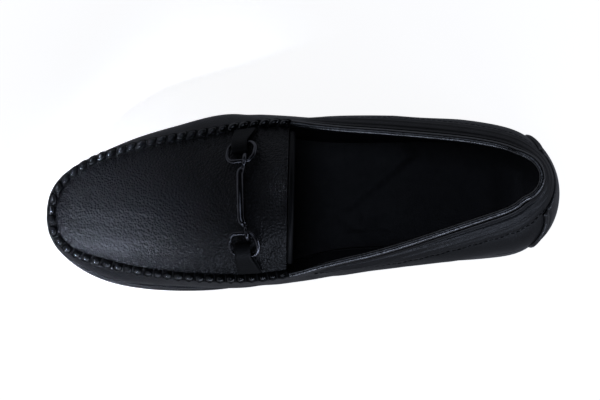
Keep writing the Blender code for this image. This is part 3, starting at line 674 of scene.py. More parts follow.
def tube(path, radii, sides, closed=False, first=0):
    """Points and faces of a tube along a path, with a frame that doesn't twist, numbered from first."""
    path = np.asarray(path)
    if closed:
        tangents = unit(np.roll(path, -1, axis=0) - np.roll(path, 1, axis=0))
    else:
        tangents = unit(np.gradient(path, axis=0))
    upright = np.linalg.norm(np.cross(tangents[0], (0.0, 0.0, 1.0))) < 0.3
    reference = np.cross(tangents[0], (1.0, 0.0, 0.0) if upright else (0.0, 0.0, 1.0))
    angles = np.linspace(0.0, 2.0 * math.pi, sides, endpoint=False)[:, None]
    vertices = []
    for point, tangent, radius in zip(path, tangents, np.broadcast_to(radii, len(path))):
        reference = unit(reference - tangent * np.dot(reference, tangent))
        circle = np.cos(angles) * reference + np.sin(angles) * np.cross(tangent, reference)
        vertices.append(point + radius * circle)
    rows = numbers(len(path), sides, first)
    faces = grid_faces(np.vstack([rows, rows[:1]]), closed=True) if closed else capped_faces(rows)
    return np.vstack(vertices), faces


def add_tubes(name, tubes, material, slot, *nodes):
    """One piece from tubes, each given by its path, radii and sides, and True where it is closed."""
    vertices, faces, count = [], [], 0
    for form in tubes:
        points, quads = tube(*form, first=count)
        vertices.append(points)
        faces += quads
        count += len(points)
    dress(add_mesh(name, np.vstack(vertices), faces, [material]), slot, *nodes)


# Materials

# Range in which most of a noise's values lie
NOISE_SPAN = (0.3, 0.7)
LEATHER_TONES = ((0.0017, 0.0018, 0.0022), (0.0030, 0.0032, 0.0038))
# A lighter copy of the leather tones: black leather with a painted highlight, for the topline bead
LEATHER_TONES_WITH_PAINTED_HIGHLIGHT = ((0.0020, 0.0021, 0.0025), (0.0036, 0.0038, 0.0044))
# A darker copy of the leather tones: black leather with painted shade, for the moccasin seam, the keeper tabs
# and the throat strip
LEATHER_TONES_WITH_PAINTED_SHADE = ((0.0014, 0.0015, 0.0018), (0.0024, 0.0026, 0.0030))


def feed(tree, node, **inputs):
    """Feed a node's inputs, each from another node's output or with a constant."""
    for name, value in inputs.items():
        socket = node.inputs[name.replace("_", " ")]
        if isinstance(value, bpy.types.NodeSocket):
            tree.links.new(value, socket)
        else:
            socket.default_value = value


def add_node(tree, kind, output, setting=None, **inputs):
    """Add a shader node, with a setting by name and value if asked, and give one of its outputs."""
    node = tree.nodes.new("ShaderNode" + kind)
    if setting:
        setattr(node, *setting)
    feed(tree, node, **inputs)
    return node.outputs[output]


def start_material(name, **inputs):
    """A material with its shader's constants set: its node tree, shader and object coordinates."""
    material = bpy.data.materials.new(name)
    material.use_nodes = True
    tree = material.node_tree
    shader = tree.nodes["Principled BSDF"]
    feed(tree, shader, **inputs)
    return material, tree, shader, add_node(tree, "TexCoord", "Object")


def noise(tree, place, scale, detail):
    """Fractal noise at a scale in cycles a metre."""
    return add_node(tree, "TexNoise", "Fac", Vector=place, Scale=scale, Detail=detail)


def span(tree, value, low, high, new_low, new_high):
    """Stretch a value from one range to another."""
    return add_node(tree, "MapRange", "Result", Value=value, From_Min=low, From_Max=high,
                    To_Min=new_low, To_Max=new_high)


def ramp(tree, value, places, colours):
    """Colours along a value."""
    node = tree.nodes.new("ShaderNodeValToRGB")
    elements = node.color_ramp.elements
    while len(elements) < len(places):
        elements.new(1.0)
    for element, place, colour in zip(elements, places, colours):
        element.position = place
        element.color = (*colour, 1.0)
    feed(tree, node, Fac=value)
    return node.outputs["Color"]


def bumps(tree, *layers):
    """The normal over a stack of bump layers, each of height, depth in metres and strength."""
    below = {}
    for height, depth, strength in layers:
        normal = add_node(tree, "Bump", "Normal", Height=height, Distance=depth, Strength=strength, **below)
        below = {"Normal": normal}
    return normal


def leather_material(name, cell_scale, depth, roughness, shine=0.28, tones=LEATHER_TONES):
    """Grained black leather: rounded pebbles, fine pores and a slightly uneven gloss."""
    material, tree, shader, place = start_material(
        name, Roughness=roughness[0], Specular_IOR_Level=shine, Coat_Weight=0.03, Coat_Roughness=0.30)
    pebbles = add_node(tree, "TexVoronoi", "Distance", ("feature", "SMOOTH_F1"), Vector=place,
                       Scale=cell_scale, Smoothness=0.4)
    pores = noise(tree, place, cell_scale * 3.5, 2.0)
    swell = noise(tree, place, cell_scale / 9.0, 3.0)
    patches = noise(tree, place, 55.0, 4.0)
    feed(tree, shader, Base_Color=ramp(tree, patches, (0.35, 0.68), tones),
         Roughness=span(tree, swell, *NOISE_SPAN, *roughness),
         Normal=bumps(tree, (swell, depth * 0.6, 0.25), (pebbles, -depth, 0.9), (pores, depth * 0.25, 0.5)))
    return material


def cloth_material(name, weave, roughness, tones):
    """Matt lining: a fine nap over soft unevenness."""
    material, tree, shader, place = start_material(
        name, Roughness=roughness, Specular_IOR_Level=0.25, Sheen_Weight=0.03, Sheen_Roughness=0.5)
    nap = noise(tree, place, weave, 2.0)
    swell = noise(tree, place, 140.0, 3.0)
    feed(tree, shader, Base_Color=ramp(tree, swell, NOISE_SPAN, tones),
         Normal=bumps(tree, (swell, 0.0004, 0.4), (nap, 0.00015, 0.6)))
    return material


def rubber_material(name, roughness, tones, fleck):
    """Moulded rubber: fine flecks, a satin skin and a faint mould texture."""
    material, tree, shader, place = start_material(name, Roughness=roughness, Specular_IOR_Level=0.4)
    flecks = noise(tree, place, 2600.0, 1.0)
    wear = noise(tree, place, 45.0, 4.0)
    base = add_node(tree, "Mix", "Result", ("data_type", "RGBA"), B=(*fleck, 1.0),
                    A=ramp(tree, wear, NOISE_SPAN, tones), Factor=span(tree, flecks, 0.60, 0.72, 0.0, 0.8))
    feed(tree, shader, Base_Color=base,
         Roughness=span(tree, wear, *NOISE_SPAN, roughness - 0.08, roughness + 0.10),
         Normal=bumps(tree, (flecks, 0.00012, 0.5), (wear, 0.0003, 0.25)))
    return material


def metal_material(name, tones):
    """Dark polished metal with a cloudy polish and hairline marks."""
    material, tree, shader, place = start_material(name, Roughness=0.2, Metallic=1.0)
    clouds = noise(tree, place, 180.0, 4.0)
    stretched = add_node(tree, "Mapping", "Vector", Vector=place, Scale=(1.0, 0.06, 1.0))
    hairlines = noise(tree, stretched, 900.0, 2.0)
    feed(tree, shader, Base_Color=ramp(tree, clouds, NOISE_SPAN, tones),
         Roughness=span(tree, clouds, *NOISE_SPAN, 0.16, 0.30), Normal=bumps(tree, (hairlines, 0.00004, 0.3)))
    return material


def thread_material(name, tones):
    """Waxed black thread with a fine twist."""
    material, tree, shader, place = start_material(name, Roughness=0.5, Specular_IOR_Level=0.3)
    twist = noise(tree, place, 2400.0, 1.0)
    feed(tree, shader, Base_Color=ramp(tree, twist, (0.35, 0.65), tones),
         Normal=bumps(tree, (twist, 0.0001, 0.7)))
    return material


PLUG_LEATHER = leather_material("plug_leather", 800.0, 0.00075, (0.36, 0.48))
QUARTER_LEATHER = leather_material("quarter_leather", 1150.0, 0.00014, (0.38, 0.48))
# Glossy bead leather whose lighter tones are a painted highlight
EDGE_LEATHER_WITH_PAINTED_HIGHLIGHT = leather_material("edge_leather_with_painted_highlight", 1700.0, 0.00008, (0.20, 0.28), 1.0, LEATHER_TONES_WITH_PAINTED_HIGHLIGHT)
# Matt leather, rougher and less shiny, whose darker tones are painted shade
DULL_LEATHER_WITH_PAINTED_SHADE = leather_material("dull_leather_with_painted_shade", 1150.0, 0.00014, (0.44, 0.54), 0.12, LEATHER_TONES_WITH_PAINTED_SHADE)
SEAM_LEATHER = leather_material("seam_leather", 1500.0, 0.00005, (0.14, 0.20), 0.65)
STRAP_LEATHER = leather_material("strap_leather", 1150.0, 0.00014, (0.30, 0.40), 0.55)
LINING = cloth_material("lining", 1900.0, 0.60, ((0.018, 0.018, 0.020), (0.028, 0.028, 0.030)))
SOCK = cloth_material("sock_lining", 1500.0, 0.52, ((0.013, 0.013, 0.015), (0.021, 0.021, 0.023)))
RUBBER = rubber_material("sole_rubber_fine", 0.58, ((0.016, 0.016, 0.017), (0.024, 0.024, 0.026)),
                         (0.070, 0.070, 0.074))
INLAY_RUBBER = rubber_material("inlay_rubber_fine", 0.52, ((0.120, 0.013, 0.022), (0.160, 0.020, 0.032)),
                               (0.220, 0.045, 0.060))
GUNMETAL = metal_material("gunmetal_fine", ((0.050, 0.050, 0.054), (0.110, 0.110, 0.118)))
THREAD = thread_material("thread", ((0.004, 0.004, 0.004), (0.012, 0.012, 0.013)))


# Moccasin seam and its gathers

def stitch_phases():
    """Place of each seam column among the stitches, and how much each stitch stands out."""
    s = along_length(seam_edge(SEAM))
    count = round(s[-1] / STITCH_PITCH)
    marks = np.arange(count + 1.0)
    marks[1:-1] += RANDOM.uniform(-STITCH_JITTER, STITCH_JITTER, count - 1)
    lifts = RANDOM.uniform(*LIFT_RANGE, count + 1)
    return np.interp(s / s[-1] * count, marks, np.arange(count + 1.0)), lifts


PHASES, LIFTS = stitch_phases()


def lateral_share(t):
    """0 along the medial side of the seam, 1 along the lateral side, easing over round the toe."""
    return smooth_step(TOE_EASE, -TOE_EASE, LOOP.at(t)[0][:, 1] / (BALL_WIDTH / 2))


def swelling(phase, lateral):
    """Roundness of a gather: 1 at its middle, 0 in the stitch at either end, times its own lift.

    Gathers are pinched on the medial side and broad on the lateral side.
    """
    number = np.floor(phase).astype(int)
    place = 2.0 * (phase - number) - 1.0
    pinched = (0.5 + 0.5 * np.cos(math.pi * place)) ** PINCH_POWER
    broad = 1.0 - np.abs(place) ** BROAD_POWER
    return between(pinched, broad, lateral) * LIFTS[np.clip(number, 0, len(LIFTS) - 1)]


def slant_at(t):
    """How far a gather leans along the seam: little on the medial side, more on the lateral side."""
    return between(*SEAM_SLANT, lateral_share(t))


def gather_strength(t):
    """1 along most of the seam, less between the bit and the medial throat corner."""
    return 1.0 - GATHER_LOSS * (1.0 - lateral_share(t)) * smooth_step(*GATHER_LOSS_SPAN, x_at(t))


def seam_ridge(t, phase, v, lift):
    """Points on the gathered ridge at a place v across it, 0 at the rim and 1 at the plug's edge."""
    swell = swelling(phase + slant_at(t) * (v - 0.5), lateral_share(t))
    swell = between(SWELL_MEAN, swell, gather_strength(t))
    arch = max(math.sin(math.pi * v ** SEAM_PEAK), 0.0)
    points = between(wall_section(t, 1.0)[0], seam_edge(t), (1.0 - math.cos(math.pi * v)) / 2)
    points[:, :2] += LOOP.at(t)[1] * (SEAM_SCALLOP * (swell - SCALLOP_MEAN) * (1.0 - v))[:, None]
    points[:, 2] += SEAM_HEIGHT * between(*SEAM_RISE_SHARES, swell) * arch + lift
    points[:, 2] += GATHER_HEIGHT * (swell - GATHER_MEAN) * v ** 2
    return points


def add_moc_seam():
    """The raised seam: a row of gathers between stitches, sunk a little into the leather."""
    places = np.linspace(0.0, len(SEAM) - 1.0, SEAM_COLUMNS)
    t, phase = (np.interp(places, np.arange(len(SEAM)), values) for values in (SEAM, PHASES))
    dome = [seam_ridge(t, phase, v, 0.0) for v in np.linspace(0.0, 1.0, SEAM_LINES)]
    sunk = np.array([0.0, 0.0, -SEAM_SINK])
    base = [dome[-1] + sunk, (dome[0] + dome[-1]) / 2 + 1.5 * sunk, dome[0] + sunk]
    # The ridge's darker leather tones are painted shade
    dress(add_loft("moc_seam", np.stack(dome + base, axis=1), [DULL_LEATHER_WITH_PAINTED_SHADE], SEAM_SHARP), "black_leather")


def add_moc_thread():
    """A whip stitch in each hollow between two gathers."""
    tubes = []
    for k in range(1, int(PHASES[-1])):
        slant = slant_at(np.interp([k], PHASES, SEAM))[0]
        path = []
        for v in np.linspace(*THREAD_SPAN, 9):
            phase = np.array([k - slant * (v - 0.5)])
            path.append(seam_ridge(np.interp(phase, PHASES, SEAM), phase, v, THREAD_LIFT)[0])
        tubes.append((smooth_path(path, 2), THREAD_RADIUS, THREAD_SIDES))
    add_tubes("moc_thread", tubes, THREAD, "black_leather")


def add_moc_beads():
    """A rounded gather on the ridge between each two stitches: short on the medial side, longer and
    slanted on the lateral side, and smaller between the bit and the medial throat corner."""
    tubes = []
    shares = np.linspace(-BEAD_TIP, BEAD_TIP, 13)
    for k in range(int(PHASES[-1])):
        before, t, after = (np.interp([k + share], PHASES, SEAM) for share in (0.35, 0.5, 0.65))
        lateral = lateral_share(t)[0]
        rim, edge = wall_section(t, 1.0)[0][0], seam_edge(t)[0]
        along = unit(seam_edge(after)[0] - seam_edge(before)[0])
        slant = BEAD_SLANT * lateral
        direction = along * math.cos(slant) - unit(edge - rim) * math.sin(slant)
        size = LIFTS[k] * between(BEAD_LEAST, 1.0, gather_strength(t)[0])
        middle = between(rim, edge, BEAD_PLACE) + (0.0, 0.0, BEAD_RISE * size)
        path = middle + direction * between(*BEAD_REACH, lateral) * size * shares[:, None]
        tubes.append((path, BEAD_RADIUS * size * np.sqrt(1.0 - shares ** 2), WIRE_SIDES))
    add_tubes("moc_beads", tubes, SEAM_LEATHER, "black_leather")


# Upper

def crease_line(crease):
    """The line of points that a crease follows on the smooth form."""
    share = np.linspace(0.0, 1.0, CREASE_SAMPLES)
    first, second = (between(start, end, share) for start, end in zip(crease.start, crease.end))
    if crease.panel == "plug":
        return plug_point(first, second)
    return wall_section(parameter_at(first, crease.panel), second)[0]


CREASE_LINES = [crease_line(crease) for crease in CREASES]


def crease_relief(points):
    """Depth of the creases at points of the upper, as soft troughs that run out at their ends."""
    relief = np.zeros(len(points))
    fade = np.sin(np.linspace(0.0, math.pi, CREASE_SAMPLES)) ** CREASE_FADE
    for crease, line in zip(CREASES, CREASE_LINES):
        distance = np.linalg.norm(points[:, None] - line, axis=2)
        trough = bump_at(0.0, crease.width, distance.min(axis=1))
        relief -= crease.depth * fade[distance.argmin(axis=1)] * trough
    return relief


def collar_seam_below(x):
    """How far below the topline the wavy seam of the collar runs."""
    wave = SEAM_WAVE * np.sin(2.0 * math.pi * x / SEAM_WAVE_LENGTH)
    return between(SEAM_BELOW_BACK, SEAM_BELOW_THROAT, smooth_step(*SEAM_CLIMB, x)) + wave


def collar_relief(x, below):
    """Relief of the collar under the topline: groove, bead, padding and seam, on a raised step."""
    seam = collar_seam_below(x)
    relief = COLLAR_STEP * (1.0 - smooth_step(seam - STEP_EASE, seam + STEP_EASE, below))
    middles = (GROOVE_BELOW, BEAD_BELOW, (BEAD_BELOW + seam) / 2, seam)
    for form, middle in zip((COLLAR_GROOVE, COLLAR_BEAD, COLLAR_PADDING, COLLAR_SEAM), middles):
        relief += welt(form, middle, below)
    return relief * (1.0 - smooth_step(*RELIEF_FADE, x))


def wall_grid():
    """Shares of the wall's height for each row and column, and their distances below the rim."""
    shares = np.linspace(0.0, 1.0, WALL_SAMPLES)
    dense = np.array([wall_section(AROUND, share)[0] for share in shares])
    steps = np.linalg.norm(np.diff(dense, axis=0), axis=2)
    below = np.vstack([np.cumsum(steps[::-1], axis=0)[::-1], np.zeros(len(AROUND))])
    collar = np.arange(COLLAR_ROWS) * COLLAR_ROW_STEP
    grid_shares, grid_below = [], []
    for column in below.T:
        near = collar * min(1.0, COLLAR_ROWS_SHARE * column[0] / collar[-1])
        far = between(near[-1], column[0], np.arange(1, LOWER_ROWS + 1) / LOWER_ROWS)
        grid_below.append(np.concatenate([near, far]))
        grid_shares.append(np.interp(grid_below[-1], column[::-1], shares[::-1]))
    return np.array(grid_shares).T, np.array(grid_below).T


WALL_SHARES, WALL_BELOW = wall_grid()


def gather_relief(columns, distance, reach, lean):
    """Ripples of the gathered leather beside seam columns, dying out with distance from the seam."""
    t = SEAM[columns]
    swell = swelling(PHASES[columns] + lean * slant_at(t), lateral_share(t)) - GATHER_MEAN
    return GATHER_HEIGHT * swell * gather_strength(t) * np.exp(-(distance / reach) ** GATHER_DECAY)


def upper_wall():
    """Outer and inner points of the wall, a row for each height from the rim down to the floor."""
    values, normal = LOOP.at(AROUND)
    seam = np.arange(len(SEAM))
    outer, inner = [], []
    for share, distance in zip(WALL_SHARES, WALL_BELOW):
        points, outward, _ = wall_section(AROUND, share)
        relief = collar_relief(values[:, 0], distance) + crease_relief(points)
        ripples = gather_relief(seam, distance[BACK + seam], WALL_GATHER_REACH, -0.5)
        relief[BACK + seam] += WALL_GATHER * ripples
        inner.append(points - outward * WALL)
        outer.append(points + outward * relief[:, None])
    foot = ring(AROUND, -(LIP_WIDTH + GAP), floor_height(values[:, 0]) + GAP)
    outer.append(foot)
    inner.append(foot - np.column_stack([normal, np.zeros(len(normal))]) * WALL)
    return np.vstack(outer), np.vstack(inner)


def upper_plug():
    """Outer and inner points of the plug, a row from medial to lateral edge at each step forward."""
    grid = np.meshgrid(np.linspace(0.0, 1.0, FRONT + 1)[:-1], np.linspace(1.0, -1.0, PLUG_STRIPS + 1),
                       indexing="ij")
    forward, across = (values.ravel() for values in grid)
    points = plug_point(forward, across)
    normal = plug_normal(forward, np.clip(across, -0.96, 0.96))
    tree = KDTree(len(SEAM))
    for i, place in enumerate(seam_edge(SEAM)):
        tree.insert(place, i)
    tree.balance()
    _, columns, distance = zip(*(tree.find(place) for place in points))
    relief = gather_relief(np.array(columns), np.array(distance), GATHER_REACH, 0.5) + crease_relief(points)
    return points + normal * relief[:, None], points - normal * WALL


def add_upper():
    """The hollow upper: wall, a low base under the seam, and the plug, with its lining inside."""
    wall_outer, wall_inner = upper_wall()
    plug_outer, plug_inner = upper_plug()
    peak = seam_edge(LOOP.toe)
    outer = np.vstack([wall_outer, plug_outer, peak])
    inner = np.vstack([wall_inner, plug_inner, peak - (0.0, 0.0, WALL)])
    columns = len(AROUND)
    wall = numbers(len(wall_outer) // columns, columns)
    plug = numbers(FRONT, PLUG_STRIPS + 1, wall.size)
    tip = len(outer) - 1
    medial_rim = wall[0, BACK:BACK + FRONT + 1]
    lateral_rim = wall[0, columns - BACK:BACK + FRONT - 1:-1]
    wall_faces = grid_faces(wall[::-1], closed=True)
    plug_faces = grid_faces([medial_rim, np.append(plug[:, 0], tip)])
    plug_faces += grid_faces([np.append(plug[:, -1], tip), lateral_rim])
    plug_faces += grid_faces(plug) + fan_faces(tip, plug[-1])
    kinds = [0] * len(wall_faces) + [1] * len(plug_faces)
    piece = add_shell("upper_leather", outer, inner, wall_faces + plug_faces,
                      [QUARTER_LEATHER, PLUG_LEATHER, LINING], kinds, UPPER_SHARP)
    dress(piece, "black_leather", "upper")


# Trim of the upper

def topline(count, short=0.0):
    """Distances along the loop from the medial throat corner round the heel to the lateral one."""
    start = THROAT["medial"] - PIPING_END - short
    end = LOOP.total - THROAT["lateral"] - PIPING_END - short
    return np.linspace(start, -end, count)


def topline_path(count):
    """Middle line of the bead on the topline, with the wall's outward and rising directions."""
    t = topline(count)
    points, outward, upward = wall_section(t, 1.0)
    step = COLLAR_STEP * (1.0 - smooth_step(*COLLAR_FADE, x_at(t)))
    path = points + outward * (step - WALL)[:, None] / 2 + upward * (PIPING_RADIUS + GAP)
    return path, outward, upward


def add_piping():
    """The rolled bead along the topline."""
    bead = (topline_path(360)[0], PIPING_RADIUS, ROLL_SIDES)
    # The bead's lighter leather tones are a painted highlight
    add_tubes("topline_bead", [bead], EDGE_LEATHER_WITH_PAINTED_HIGHLIGHT, "piping_leather", "topline_piping")


def throat_line(count, height, ahead):
    """Points near the throat edge of the plug, a height above it and some way toward the toe."""
    w = np.linspace(THROAT_REACH, -THROAT_REACH, count)
    points = plug_point(0.0, w)
    return points + plug_normal(0.0, w) * height + unit(plug_point(0.01, w) - points) * ahead


def add_throat_binding():
    """The folded strip along the straight throat edge of the plug."""
    strip = (throat_line(80, -WALL / 2, -(THROAT_RADIUS + GAP)), THROAT_RADIUS, ROLL_SIDES)
    # The strip's darker leather tones are painted shade
    add_tubes("throat_strip", [strip], DULL_LEATHER_WITH_PAINTED_SHADE, "piping_leather", "throat_binding")


def strap_reach(share):
    """Half length of the back strap round the heel at a share of the wall's height."""
    return STRAP_HALF_ARC * (1.0 - STRAP_TAPER * smooth_step(*STRAP_TAPER_SHARES, share))


def strap_place(across, share, lift):
    """Points of the back strap: across runs from -1 lateral to +1 medial."""
    points, outward, _ = wall_section(strap_reach(share) * across, share)
    return points + outward * np.reshape(lift, (-1, 1))


def add_back_strap():
    """The patch over the heel seam, with a turned edge and a pressed stitch line."""
    columns, rows = STRAP_GRID
    grid = np.meshgrid(np.linspace(-1.0, 1.0, columns), np.linspace(*STRAP_SHARES, rows), indexing="ij")
    across, share = (values.ravel() for values in grid)
    to_end = strap_reach(share) * (1.0 - np.abs(across))
    to_rim = np.minimum(share - STRAP_SHARES[0], STRAP_SHARES[1] - share) * STRAP_WALL_HEIGHT
    turned = round_edge(STRAP_EDGE, np.minimum(to_end, to_rim))
    thickness = STRAP_THICKNESS * between(STRAP_EDGE_SHARE, 1.0, turned)
    thickness += welt(STRAP_ROLL, STRAP_ROLL_INSET, to_end) + welt(STRAP_SEAM, STRAP_SEAM_INSET, to_end)
    outer, inner = (strap_place(across, share, lift) for lift in (GAP + thickness, GAP))
    piece = add_shell("heel_strap", outer, inner, grid_faces(numbers(columns, rows)), [STRAP_LEATHER])
    dress(piece, "black_leather", "back_strap")


# Stitches

def stitches_along(points, row):
    """Short stitches along a line of points, each dipping into the leather at its ends."""
    starts = np.arange(row.pitch / 2, along_length(points)[-1] - row.length, row.pitch)
    steps = row.length * np.linspace(0.0, 1.0, len(STITCH_PROFILE))
    return [(at_length(points, start + steps), row.radius * STITCH_PROFILE, THREAD_SIDES) for start in starts]


def collar_stitch_line():
    """Line of the stitches below the wavy seam of the collar."""
    t = topline(500, COLLAR_STITCH_END)
    order = np.argsort(AROUND)
    columns = np.searchsorted(AROUND[order], np.mod(t, LOOP.total))
    below = collar_seam_below(x_at(t)) + COLLAR_STITCH_BELOW
    shares = []
    for distance, i in zip(below, order[np.clip(columns, 0, len(order) - 1)]):
        shares.append(np.interp(distance, WALL_BELOW[:, i], WALL_SHARES[:, i]))
    points, outward, _ = wall_section(t, np.array(shares))
    return points + outward * COLLAR_STITCH_LIFT


def add_stitches():
    """Stitch rows of the collar seam, the topline, the back strap and the throat."""
    tubes = stitches_along(collar_stitch_line(), COLLAR_STITCHES)
    path, outward, upward = topline_path(500)
    inside = path - outward * TOPLINE_STITCH_INWARD - upward * (PIPING_RADIUS + STITCH_SINK)
    tubes += stitches_along(inside, TOPLINE_STITCHES)
    share = np.linspace(*STRAP_STITCH_SHARES, 60)
    for side in (-1.0, 1.0):
        across = side * (1.0 - STRAP_SEAM_INSET / strap_reach(share))
        line = strap_place(across, share, GAP + STRAP_THICKNESS - STITCH_SINK)
        tubes += stitches_along(line, STRAP_STITCHES)
    tubes += stitches_along(throat_line(120, THROAT_STITCH_LIFT, THROAT_STITCH_AHEAD), THROAT_STITCHES)
    add_tubes("stitches", tubes, THREAD, "black_leather")


# The bit and its keeper tabs

def ring_path(side):
    """Middle line of a D ring laid over the plug."""
    half, middle = (RING_FAR - RING_NEAR) / 2, (RING_FAR + RING_NEAR) / 2
    flat, rise = RING_HALF_WIDTH - RING_CORNER, half - RING_CORNER
    places = []
    for corner, (sx, sy) in enumerate(((1, 1), (-1, 1), (-1, -1), (1, -1))):
        for angle in np.radians(90.0 * corner + np.linspace(0.0, 90.0, 10)):
            places.append((sx * flat + RING_CORNER * math.cos(angle),
                           sy * rise + RING_CORNER * math.sin(angle)))
        if sx * sy > 0:
            places.extend((share * sx * flat, sy * half) for share in (0.6, 0.2, -0.2, -0.6))
    along, across = np.array(places).T
    x = BIT_X + RING_SHIFT + along - RING_SKEW * across
    return drape(x, BIT_Y + side * (middle + across), RING_HEIGHT)


def add_bit_ring(name, side):
    """A D ring of round wire."""
    wire = (ring_path(side), RING_WIRE, WIRE_SIDES, True)
    add_tubes("ring_" + name, [wire], GUNMETAL, "gunmetal", "bit_ring_" + name)


def add_bit_bar():
    """The bar across the plug: each end bends toward the heel and hooks over the near side of a ring."""
    hook = RING_WIRE + GAP + HOOK_RADIUS + HOOK_PLAY
    reach = RING_NEAR - hook
    profile = []
    for angle in np.radians(np.linspace(0.0, 180.0, 6)):
        height = RING_HEIGHT + hook * math.sin(angle)
        profile.append((RING_NEAR + hook * math.cos(angle), height, HOOK_RADIUS))
    stations = ((reach - BAR_NECK, NECK_RADIUS), (reach - BAR_SHOULDER, BAR_RADIUS), (reach / 2, BAR_RADIUS))
    profile += [(across, RING_HEIGHT, radius) for across, radius in stations]
    line = [(-across, height, radius) for across, height, radius in profile]
    line += [(0.0, RING_HEIGHT, BAR_RADIUS), *reversed(profile)]
    across, height, radius = smooth_path(line, 8).T
    bend = BAR_BEND * smooth_step(reach - BEND_BEFORE, reach + BEND_AFTER, np.abs(across))
    path = drape(BIT_X - bend, BIT_Y + across, height)
    bar = (path, np.clip(radius, HOOK_RADIUS, BAR_RADIUS), BAR_SIDES)
    add_tubes("bar", [bar], GUNMETAL, "gunmetal", "bit_bar")


def plug_edge_y(side, x):
    """Where the plug's edge lies at a place along the foot."""
    edge = seam_edge(between(THROAT[side], LOOP.toe, np.linspace(0.0, 0.8, 200)))
    return float(np.interp(x, edge[:, 0], edge[:, 1]))


def tab_line(side, start):
    """Middle line of a keeper tab: y and height over the plug, round the ring's far side and back."""
    far = BIT_Y + side * RING_FAR
    low = GAP + TAB_THICKNESS / 2
    radius = RING_WIRE + GAP + TAB_THICKNESS / 2
    fold = far - side * TAB_FOLD
    line = [(start, low), ((start + far) / 2, low), (fold, low)]
    for angle in np.radians((-45.0, 0.0, 45.0, 90.0)):
        line.append((fold - side * radius * math.cos(angle), RING_HEIGHT + radius * math.sin(angle)))
    end = between(far, start, TAB_TOP_SHARE)
    over, top = RING_HEIGHT + radius, low + TAB_THICKNESS + GAP
    line += [(far, over), ((far + end) / 2, (over + top) / 2), (end, top)]
    return smooth_path(line, 6)


def add_keeper_tab(name, side):
    """A leather strip from the seam that loops round the far side of a ring, wider at the seam."""
    far = BIT_Y + side * RING_FAR
    outer, inner = [], []
    for a in np.linspace(-TAB_WIDTH / 2, TAB_WIDTH / 2, 15):
        foot_x = BIT_X + TAB_SHIFT - TAB_DRIFT + a * (1.0 + TAB_FLARE)
        start = plug_edge_y(name, foot_x) - side * TAB_SEAM_GAP
        line = tab_line(side, start)
        spread = part_way(far, start, line[:, 0])
        x = BIT_X + TAB_SHIFT - TAB_DRIFT * spread + a * (1.0 + TAB_FLARE * spread)
        turned = round_edge(TAB_EDGE, TAB_WIDTH / 2 - abs(a))
        half = TAB_THICKNESS / 2 * between(TAB_EDGE_SHARE, 1.0, turned) * aside_of(line)
        for sheet, place in ((outer, line + half), (inner, line - half)):
            sheet.append(drape(x, place[:, 0], place[:, 1]))
    faces = grid_faces(numbers(len(outer), len(line)))
    # The tab's darker leather tones are painted shade
    piece = add_shell("tab_" + name, np.vstack(outer), np.vstack(inner), faces, [DULL_LEATHER_WITH_PAINTED_SHADE])
    dress(piece, "black_leather", "keeper_tab_" + name)


# Insole

def insole_relief(plan, to_edge):
    """Relief of the sock board: cupped edge, heel pad, pressed arch edge and ribs."""
    x, y = plan[..., 0], plan[..., 1]
    relief = CUP_HEIGHT * np.exp(-to_edge / CUP_REACH) * (1.0 - smooth_step(*CUP_END, x))
    relief -= PAD_DEPTH * smooth_step(*PAD_EDGE, to_edge) * (1.0 - smooth_step(*PAD_END, x))
    (x0, y0), (x1, y1) = ARCH_LINE
    size = math.hypot(x1 - x0, y1 - y0)
    side = ((x - x0) * (y1 - y0) - (y - y0) * (x1 - x0)) / size
    along = ((x - x0) * (x1 - x0) + (y - y0) * (y1 - y0)) / size ** 2
    inside = smooth_step(*ARCH_ENDS[0], along) * (1.0 - smooth_step(*ARCH_ENDS[1], along))
    rise = smooth_step(ARCH_EDGE_EASE, -ARCH_EDGE_EASE, side)
    relief += ARCH_EDGE_HEIGHT * inside * rise * np.exp(np.minimum(side, 0.0) / ARCH_EDGE_REACH)
    start, end = RIB_SPAN
    reach = smooth_step(start - RIB_EASE, start + RIB_EASE, y)
    reach *= smooth_step(end + RIB_EASE, end - RIB_EASE, y)
    for rib in RIB_XS:
        relief += reach * welt(INSOLE_RIB, rib, x + RIB_LEAN * (y - start))
    return relief


def add_insole():
    """The sock board on the cup floor."""
    across = (1.0 - np.cos(math.pi * np.linspace(0.0, 1.0, INSOLE_ACROSS + 1))) / 2
    medial, lateral = (ring(side_columns(side, *INSOLE_COLUMNS)[1:-1], -INSOLE_INSET, 0.0)[:, None, :2]
                       for side in THROAT)
    plan = between(medial, lateral, across[:, None])
    to_side = np.linalg.norm(medial - lateral, axis=2) * np.minimum(across, 1.0 - across)
    to_end = np.minimum(plan[..., 0], LENGTH - plan[..., 0]) - INSOLE_INSET
    height = floor_height(plan[..., 0]) + GAP
    top = height + INSOLE_THICKNESS + insole_relief(plan, np.minimum(to_side, to_end))
    ends = ring(np.array([0.0, LOOP.toe]), -INSOLE_INSET, 0.0)
    ends[:, 2] = floor_height(ends[:, 0]) + GAP
    upper = np.vstack([np.dstack([plan, top]).reshape(-1, 3), ends + (0.0, 0.0, INSOLE_THICKNESS)])
    lower = np.vstack([np.dstack([plan, height]).reshape(-1, 3), ends])
    grid = numbers(*top.shape)
    faces = grid_faces(grid) + fan_faces(grid.size, grid[0]) + fan_faces(grid.size + 1, grid[-1])
    dress(add_shell("sock", upper, lower, faces, [SOCK]), "insole_lining", "insole")


# Sole

def line_cutter(points, width, depth, section):
    """A closed strip that cuts a groove of a given section along a bent line of the tread."""
    points = np.asarray(points)
    s = along_length(points)
    line = at_length(points, np.unique(np.concatenate([s, np.arange(0.0, s[-1], CUT_STEP)])))
    aside, bottom = aside_of(line), tread_height(line[:, 0])
    loops = [np.column_stack([line + aside * share * width / 2, bottom + rise * depth])
             for share, rise in section]
    return add_loft("cutter", np.stack(loops, axis=1), [])


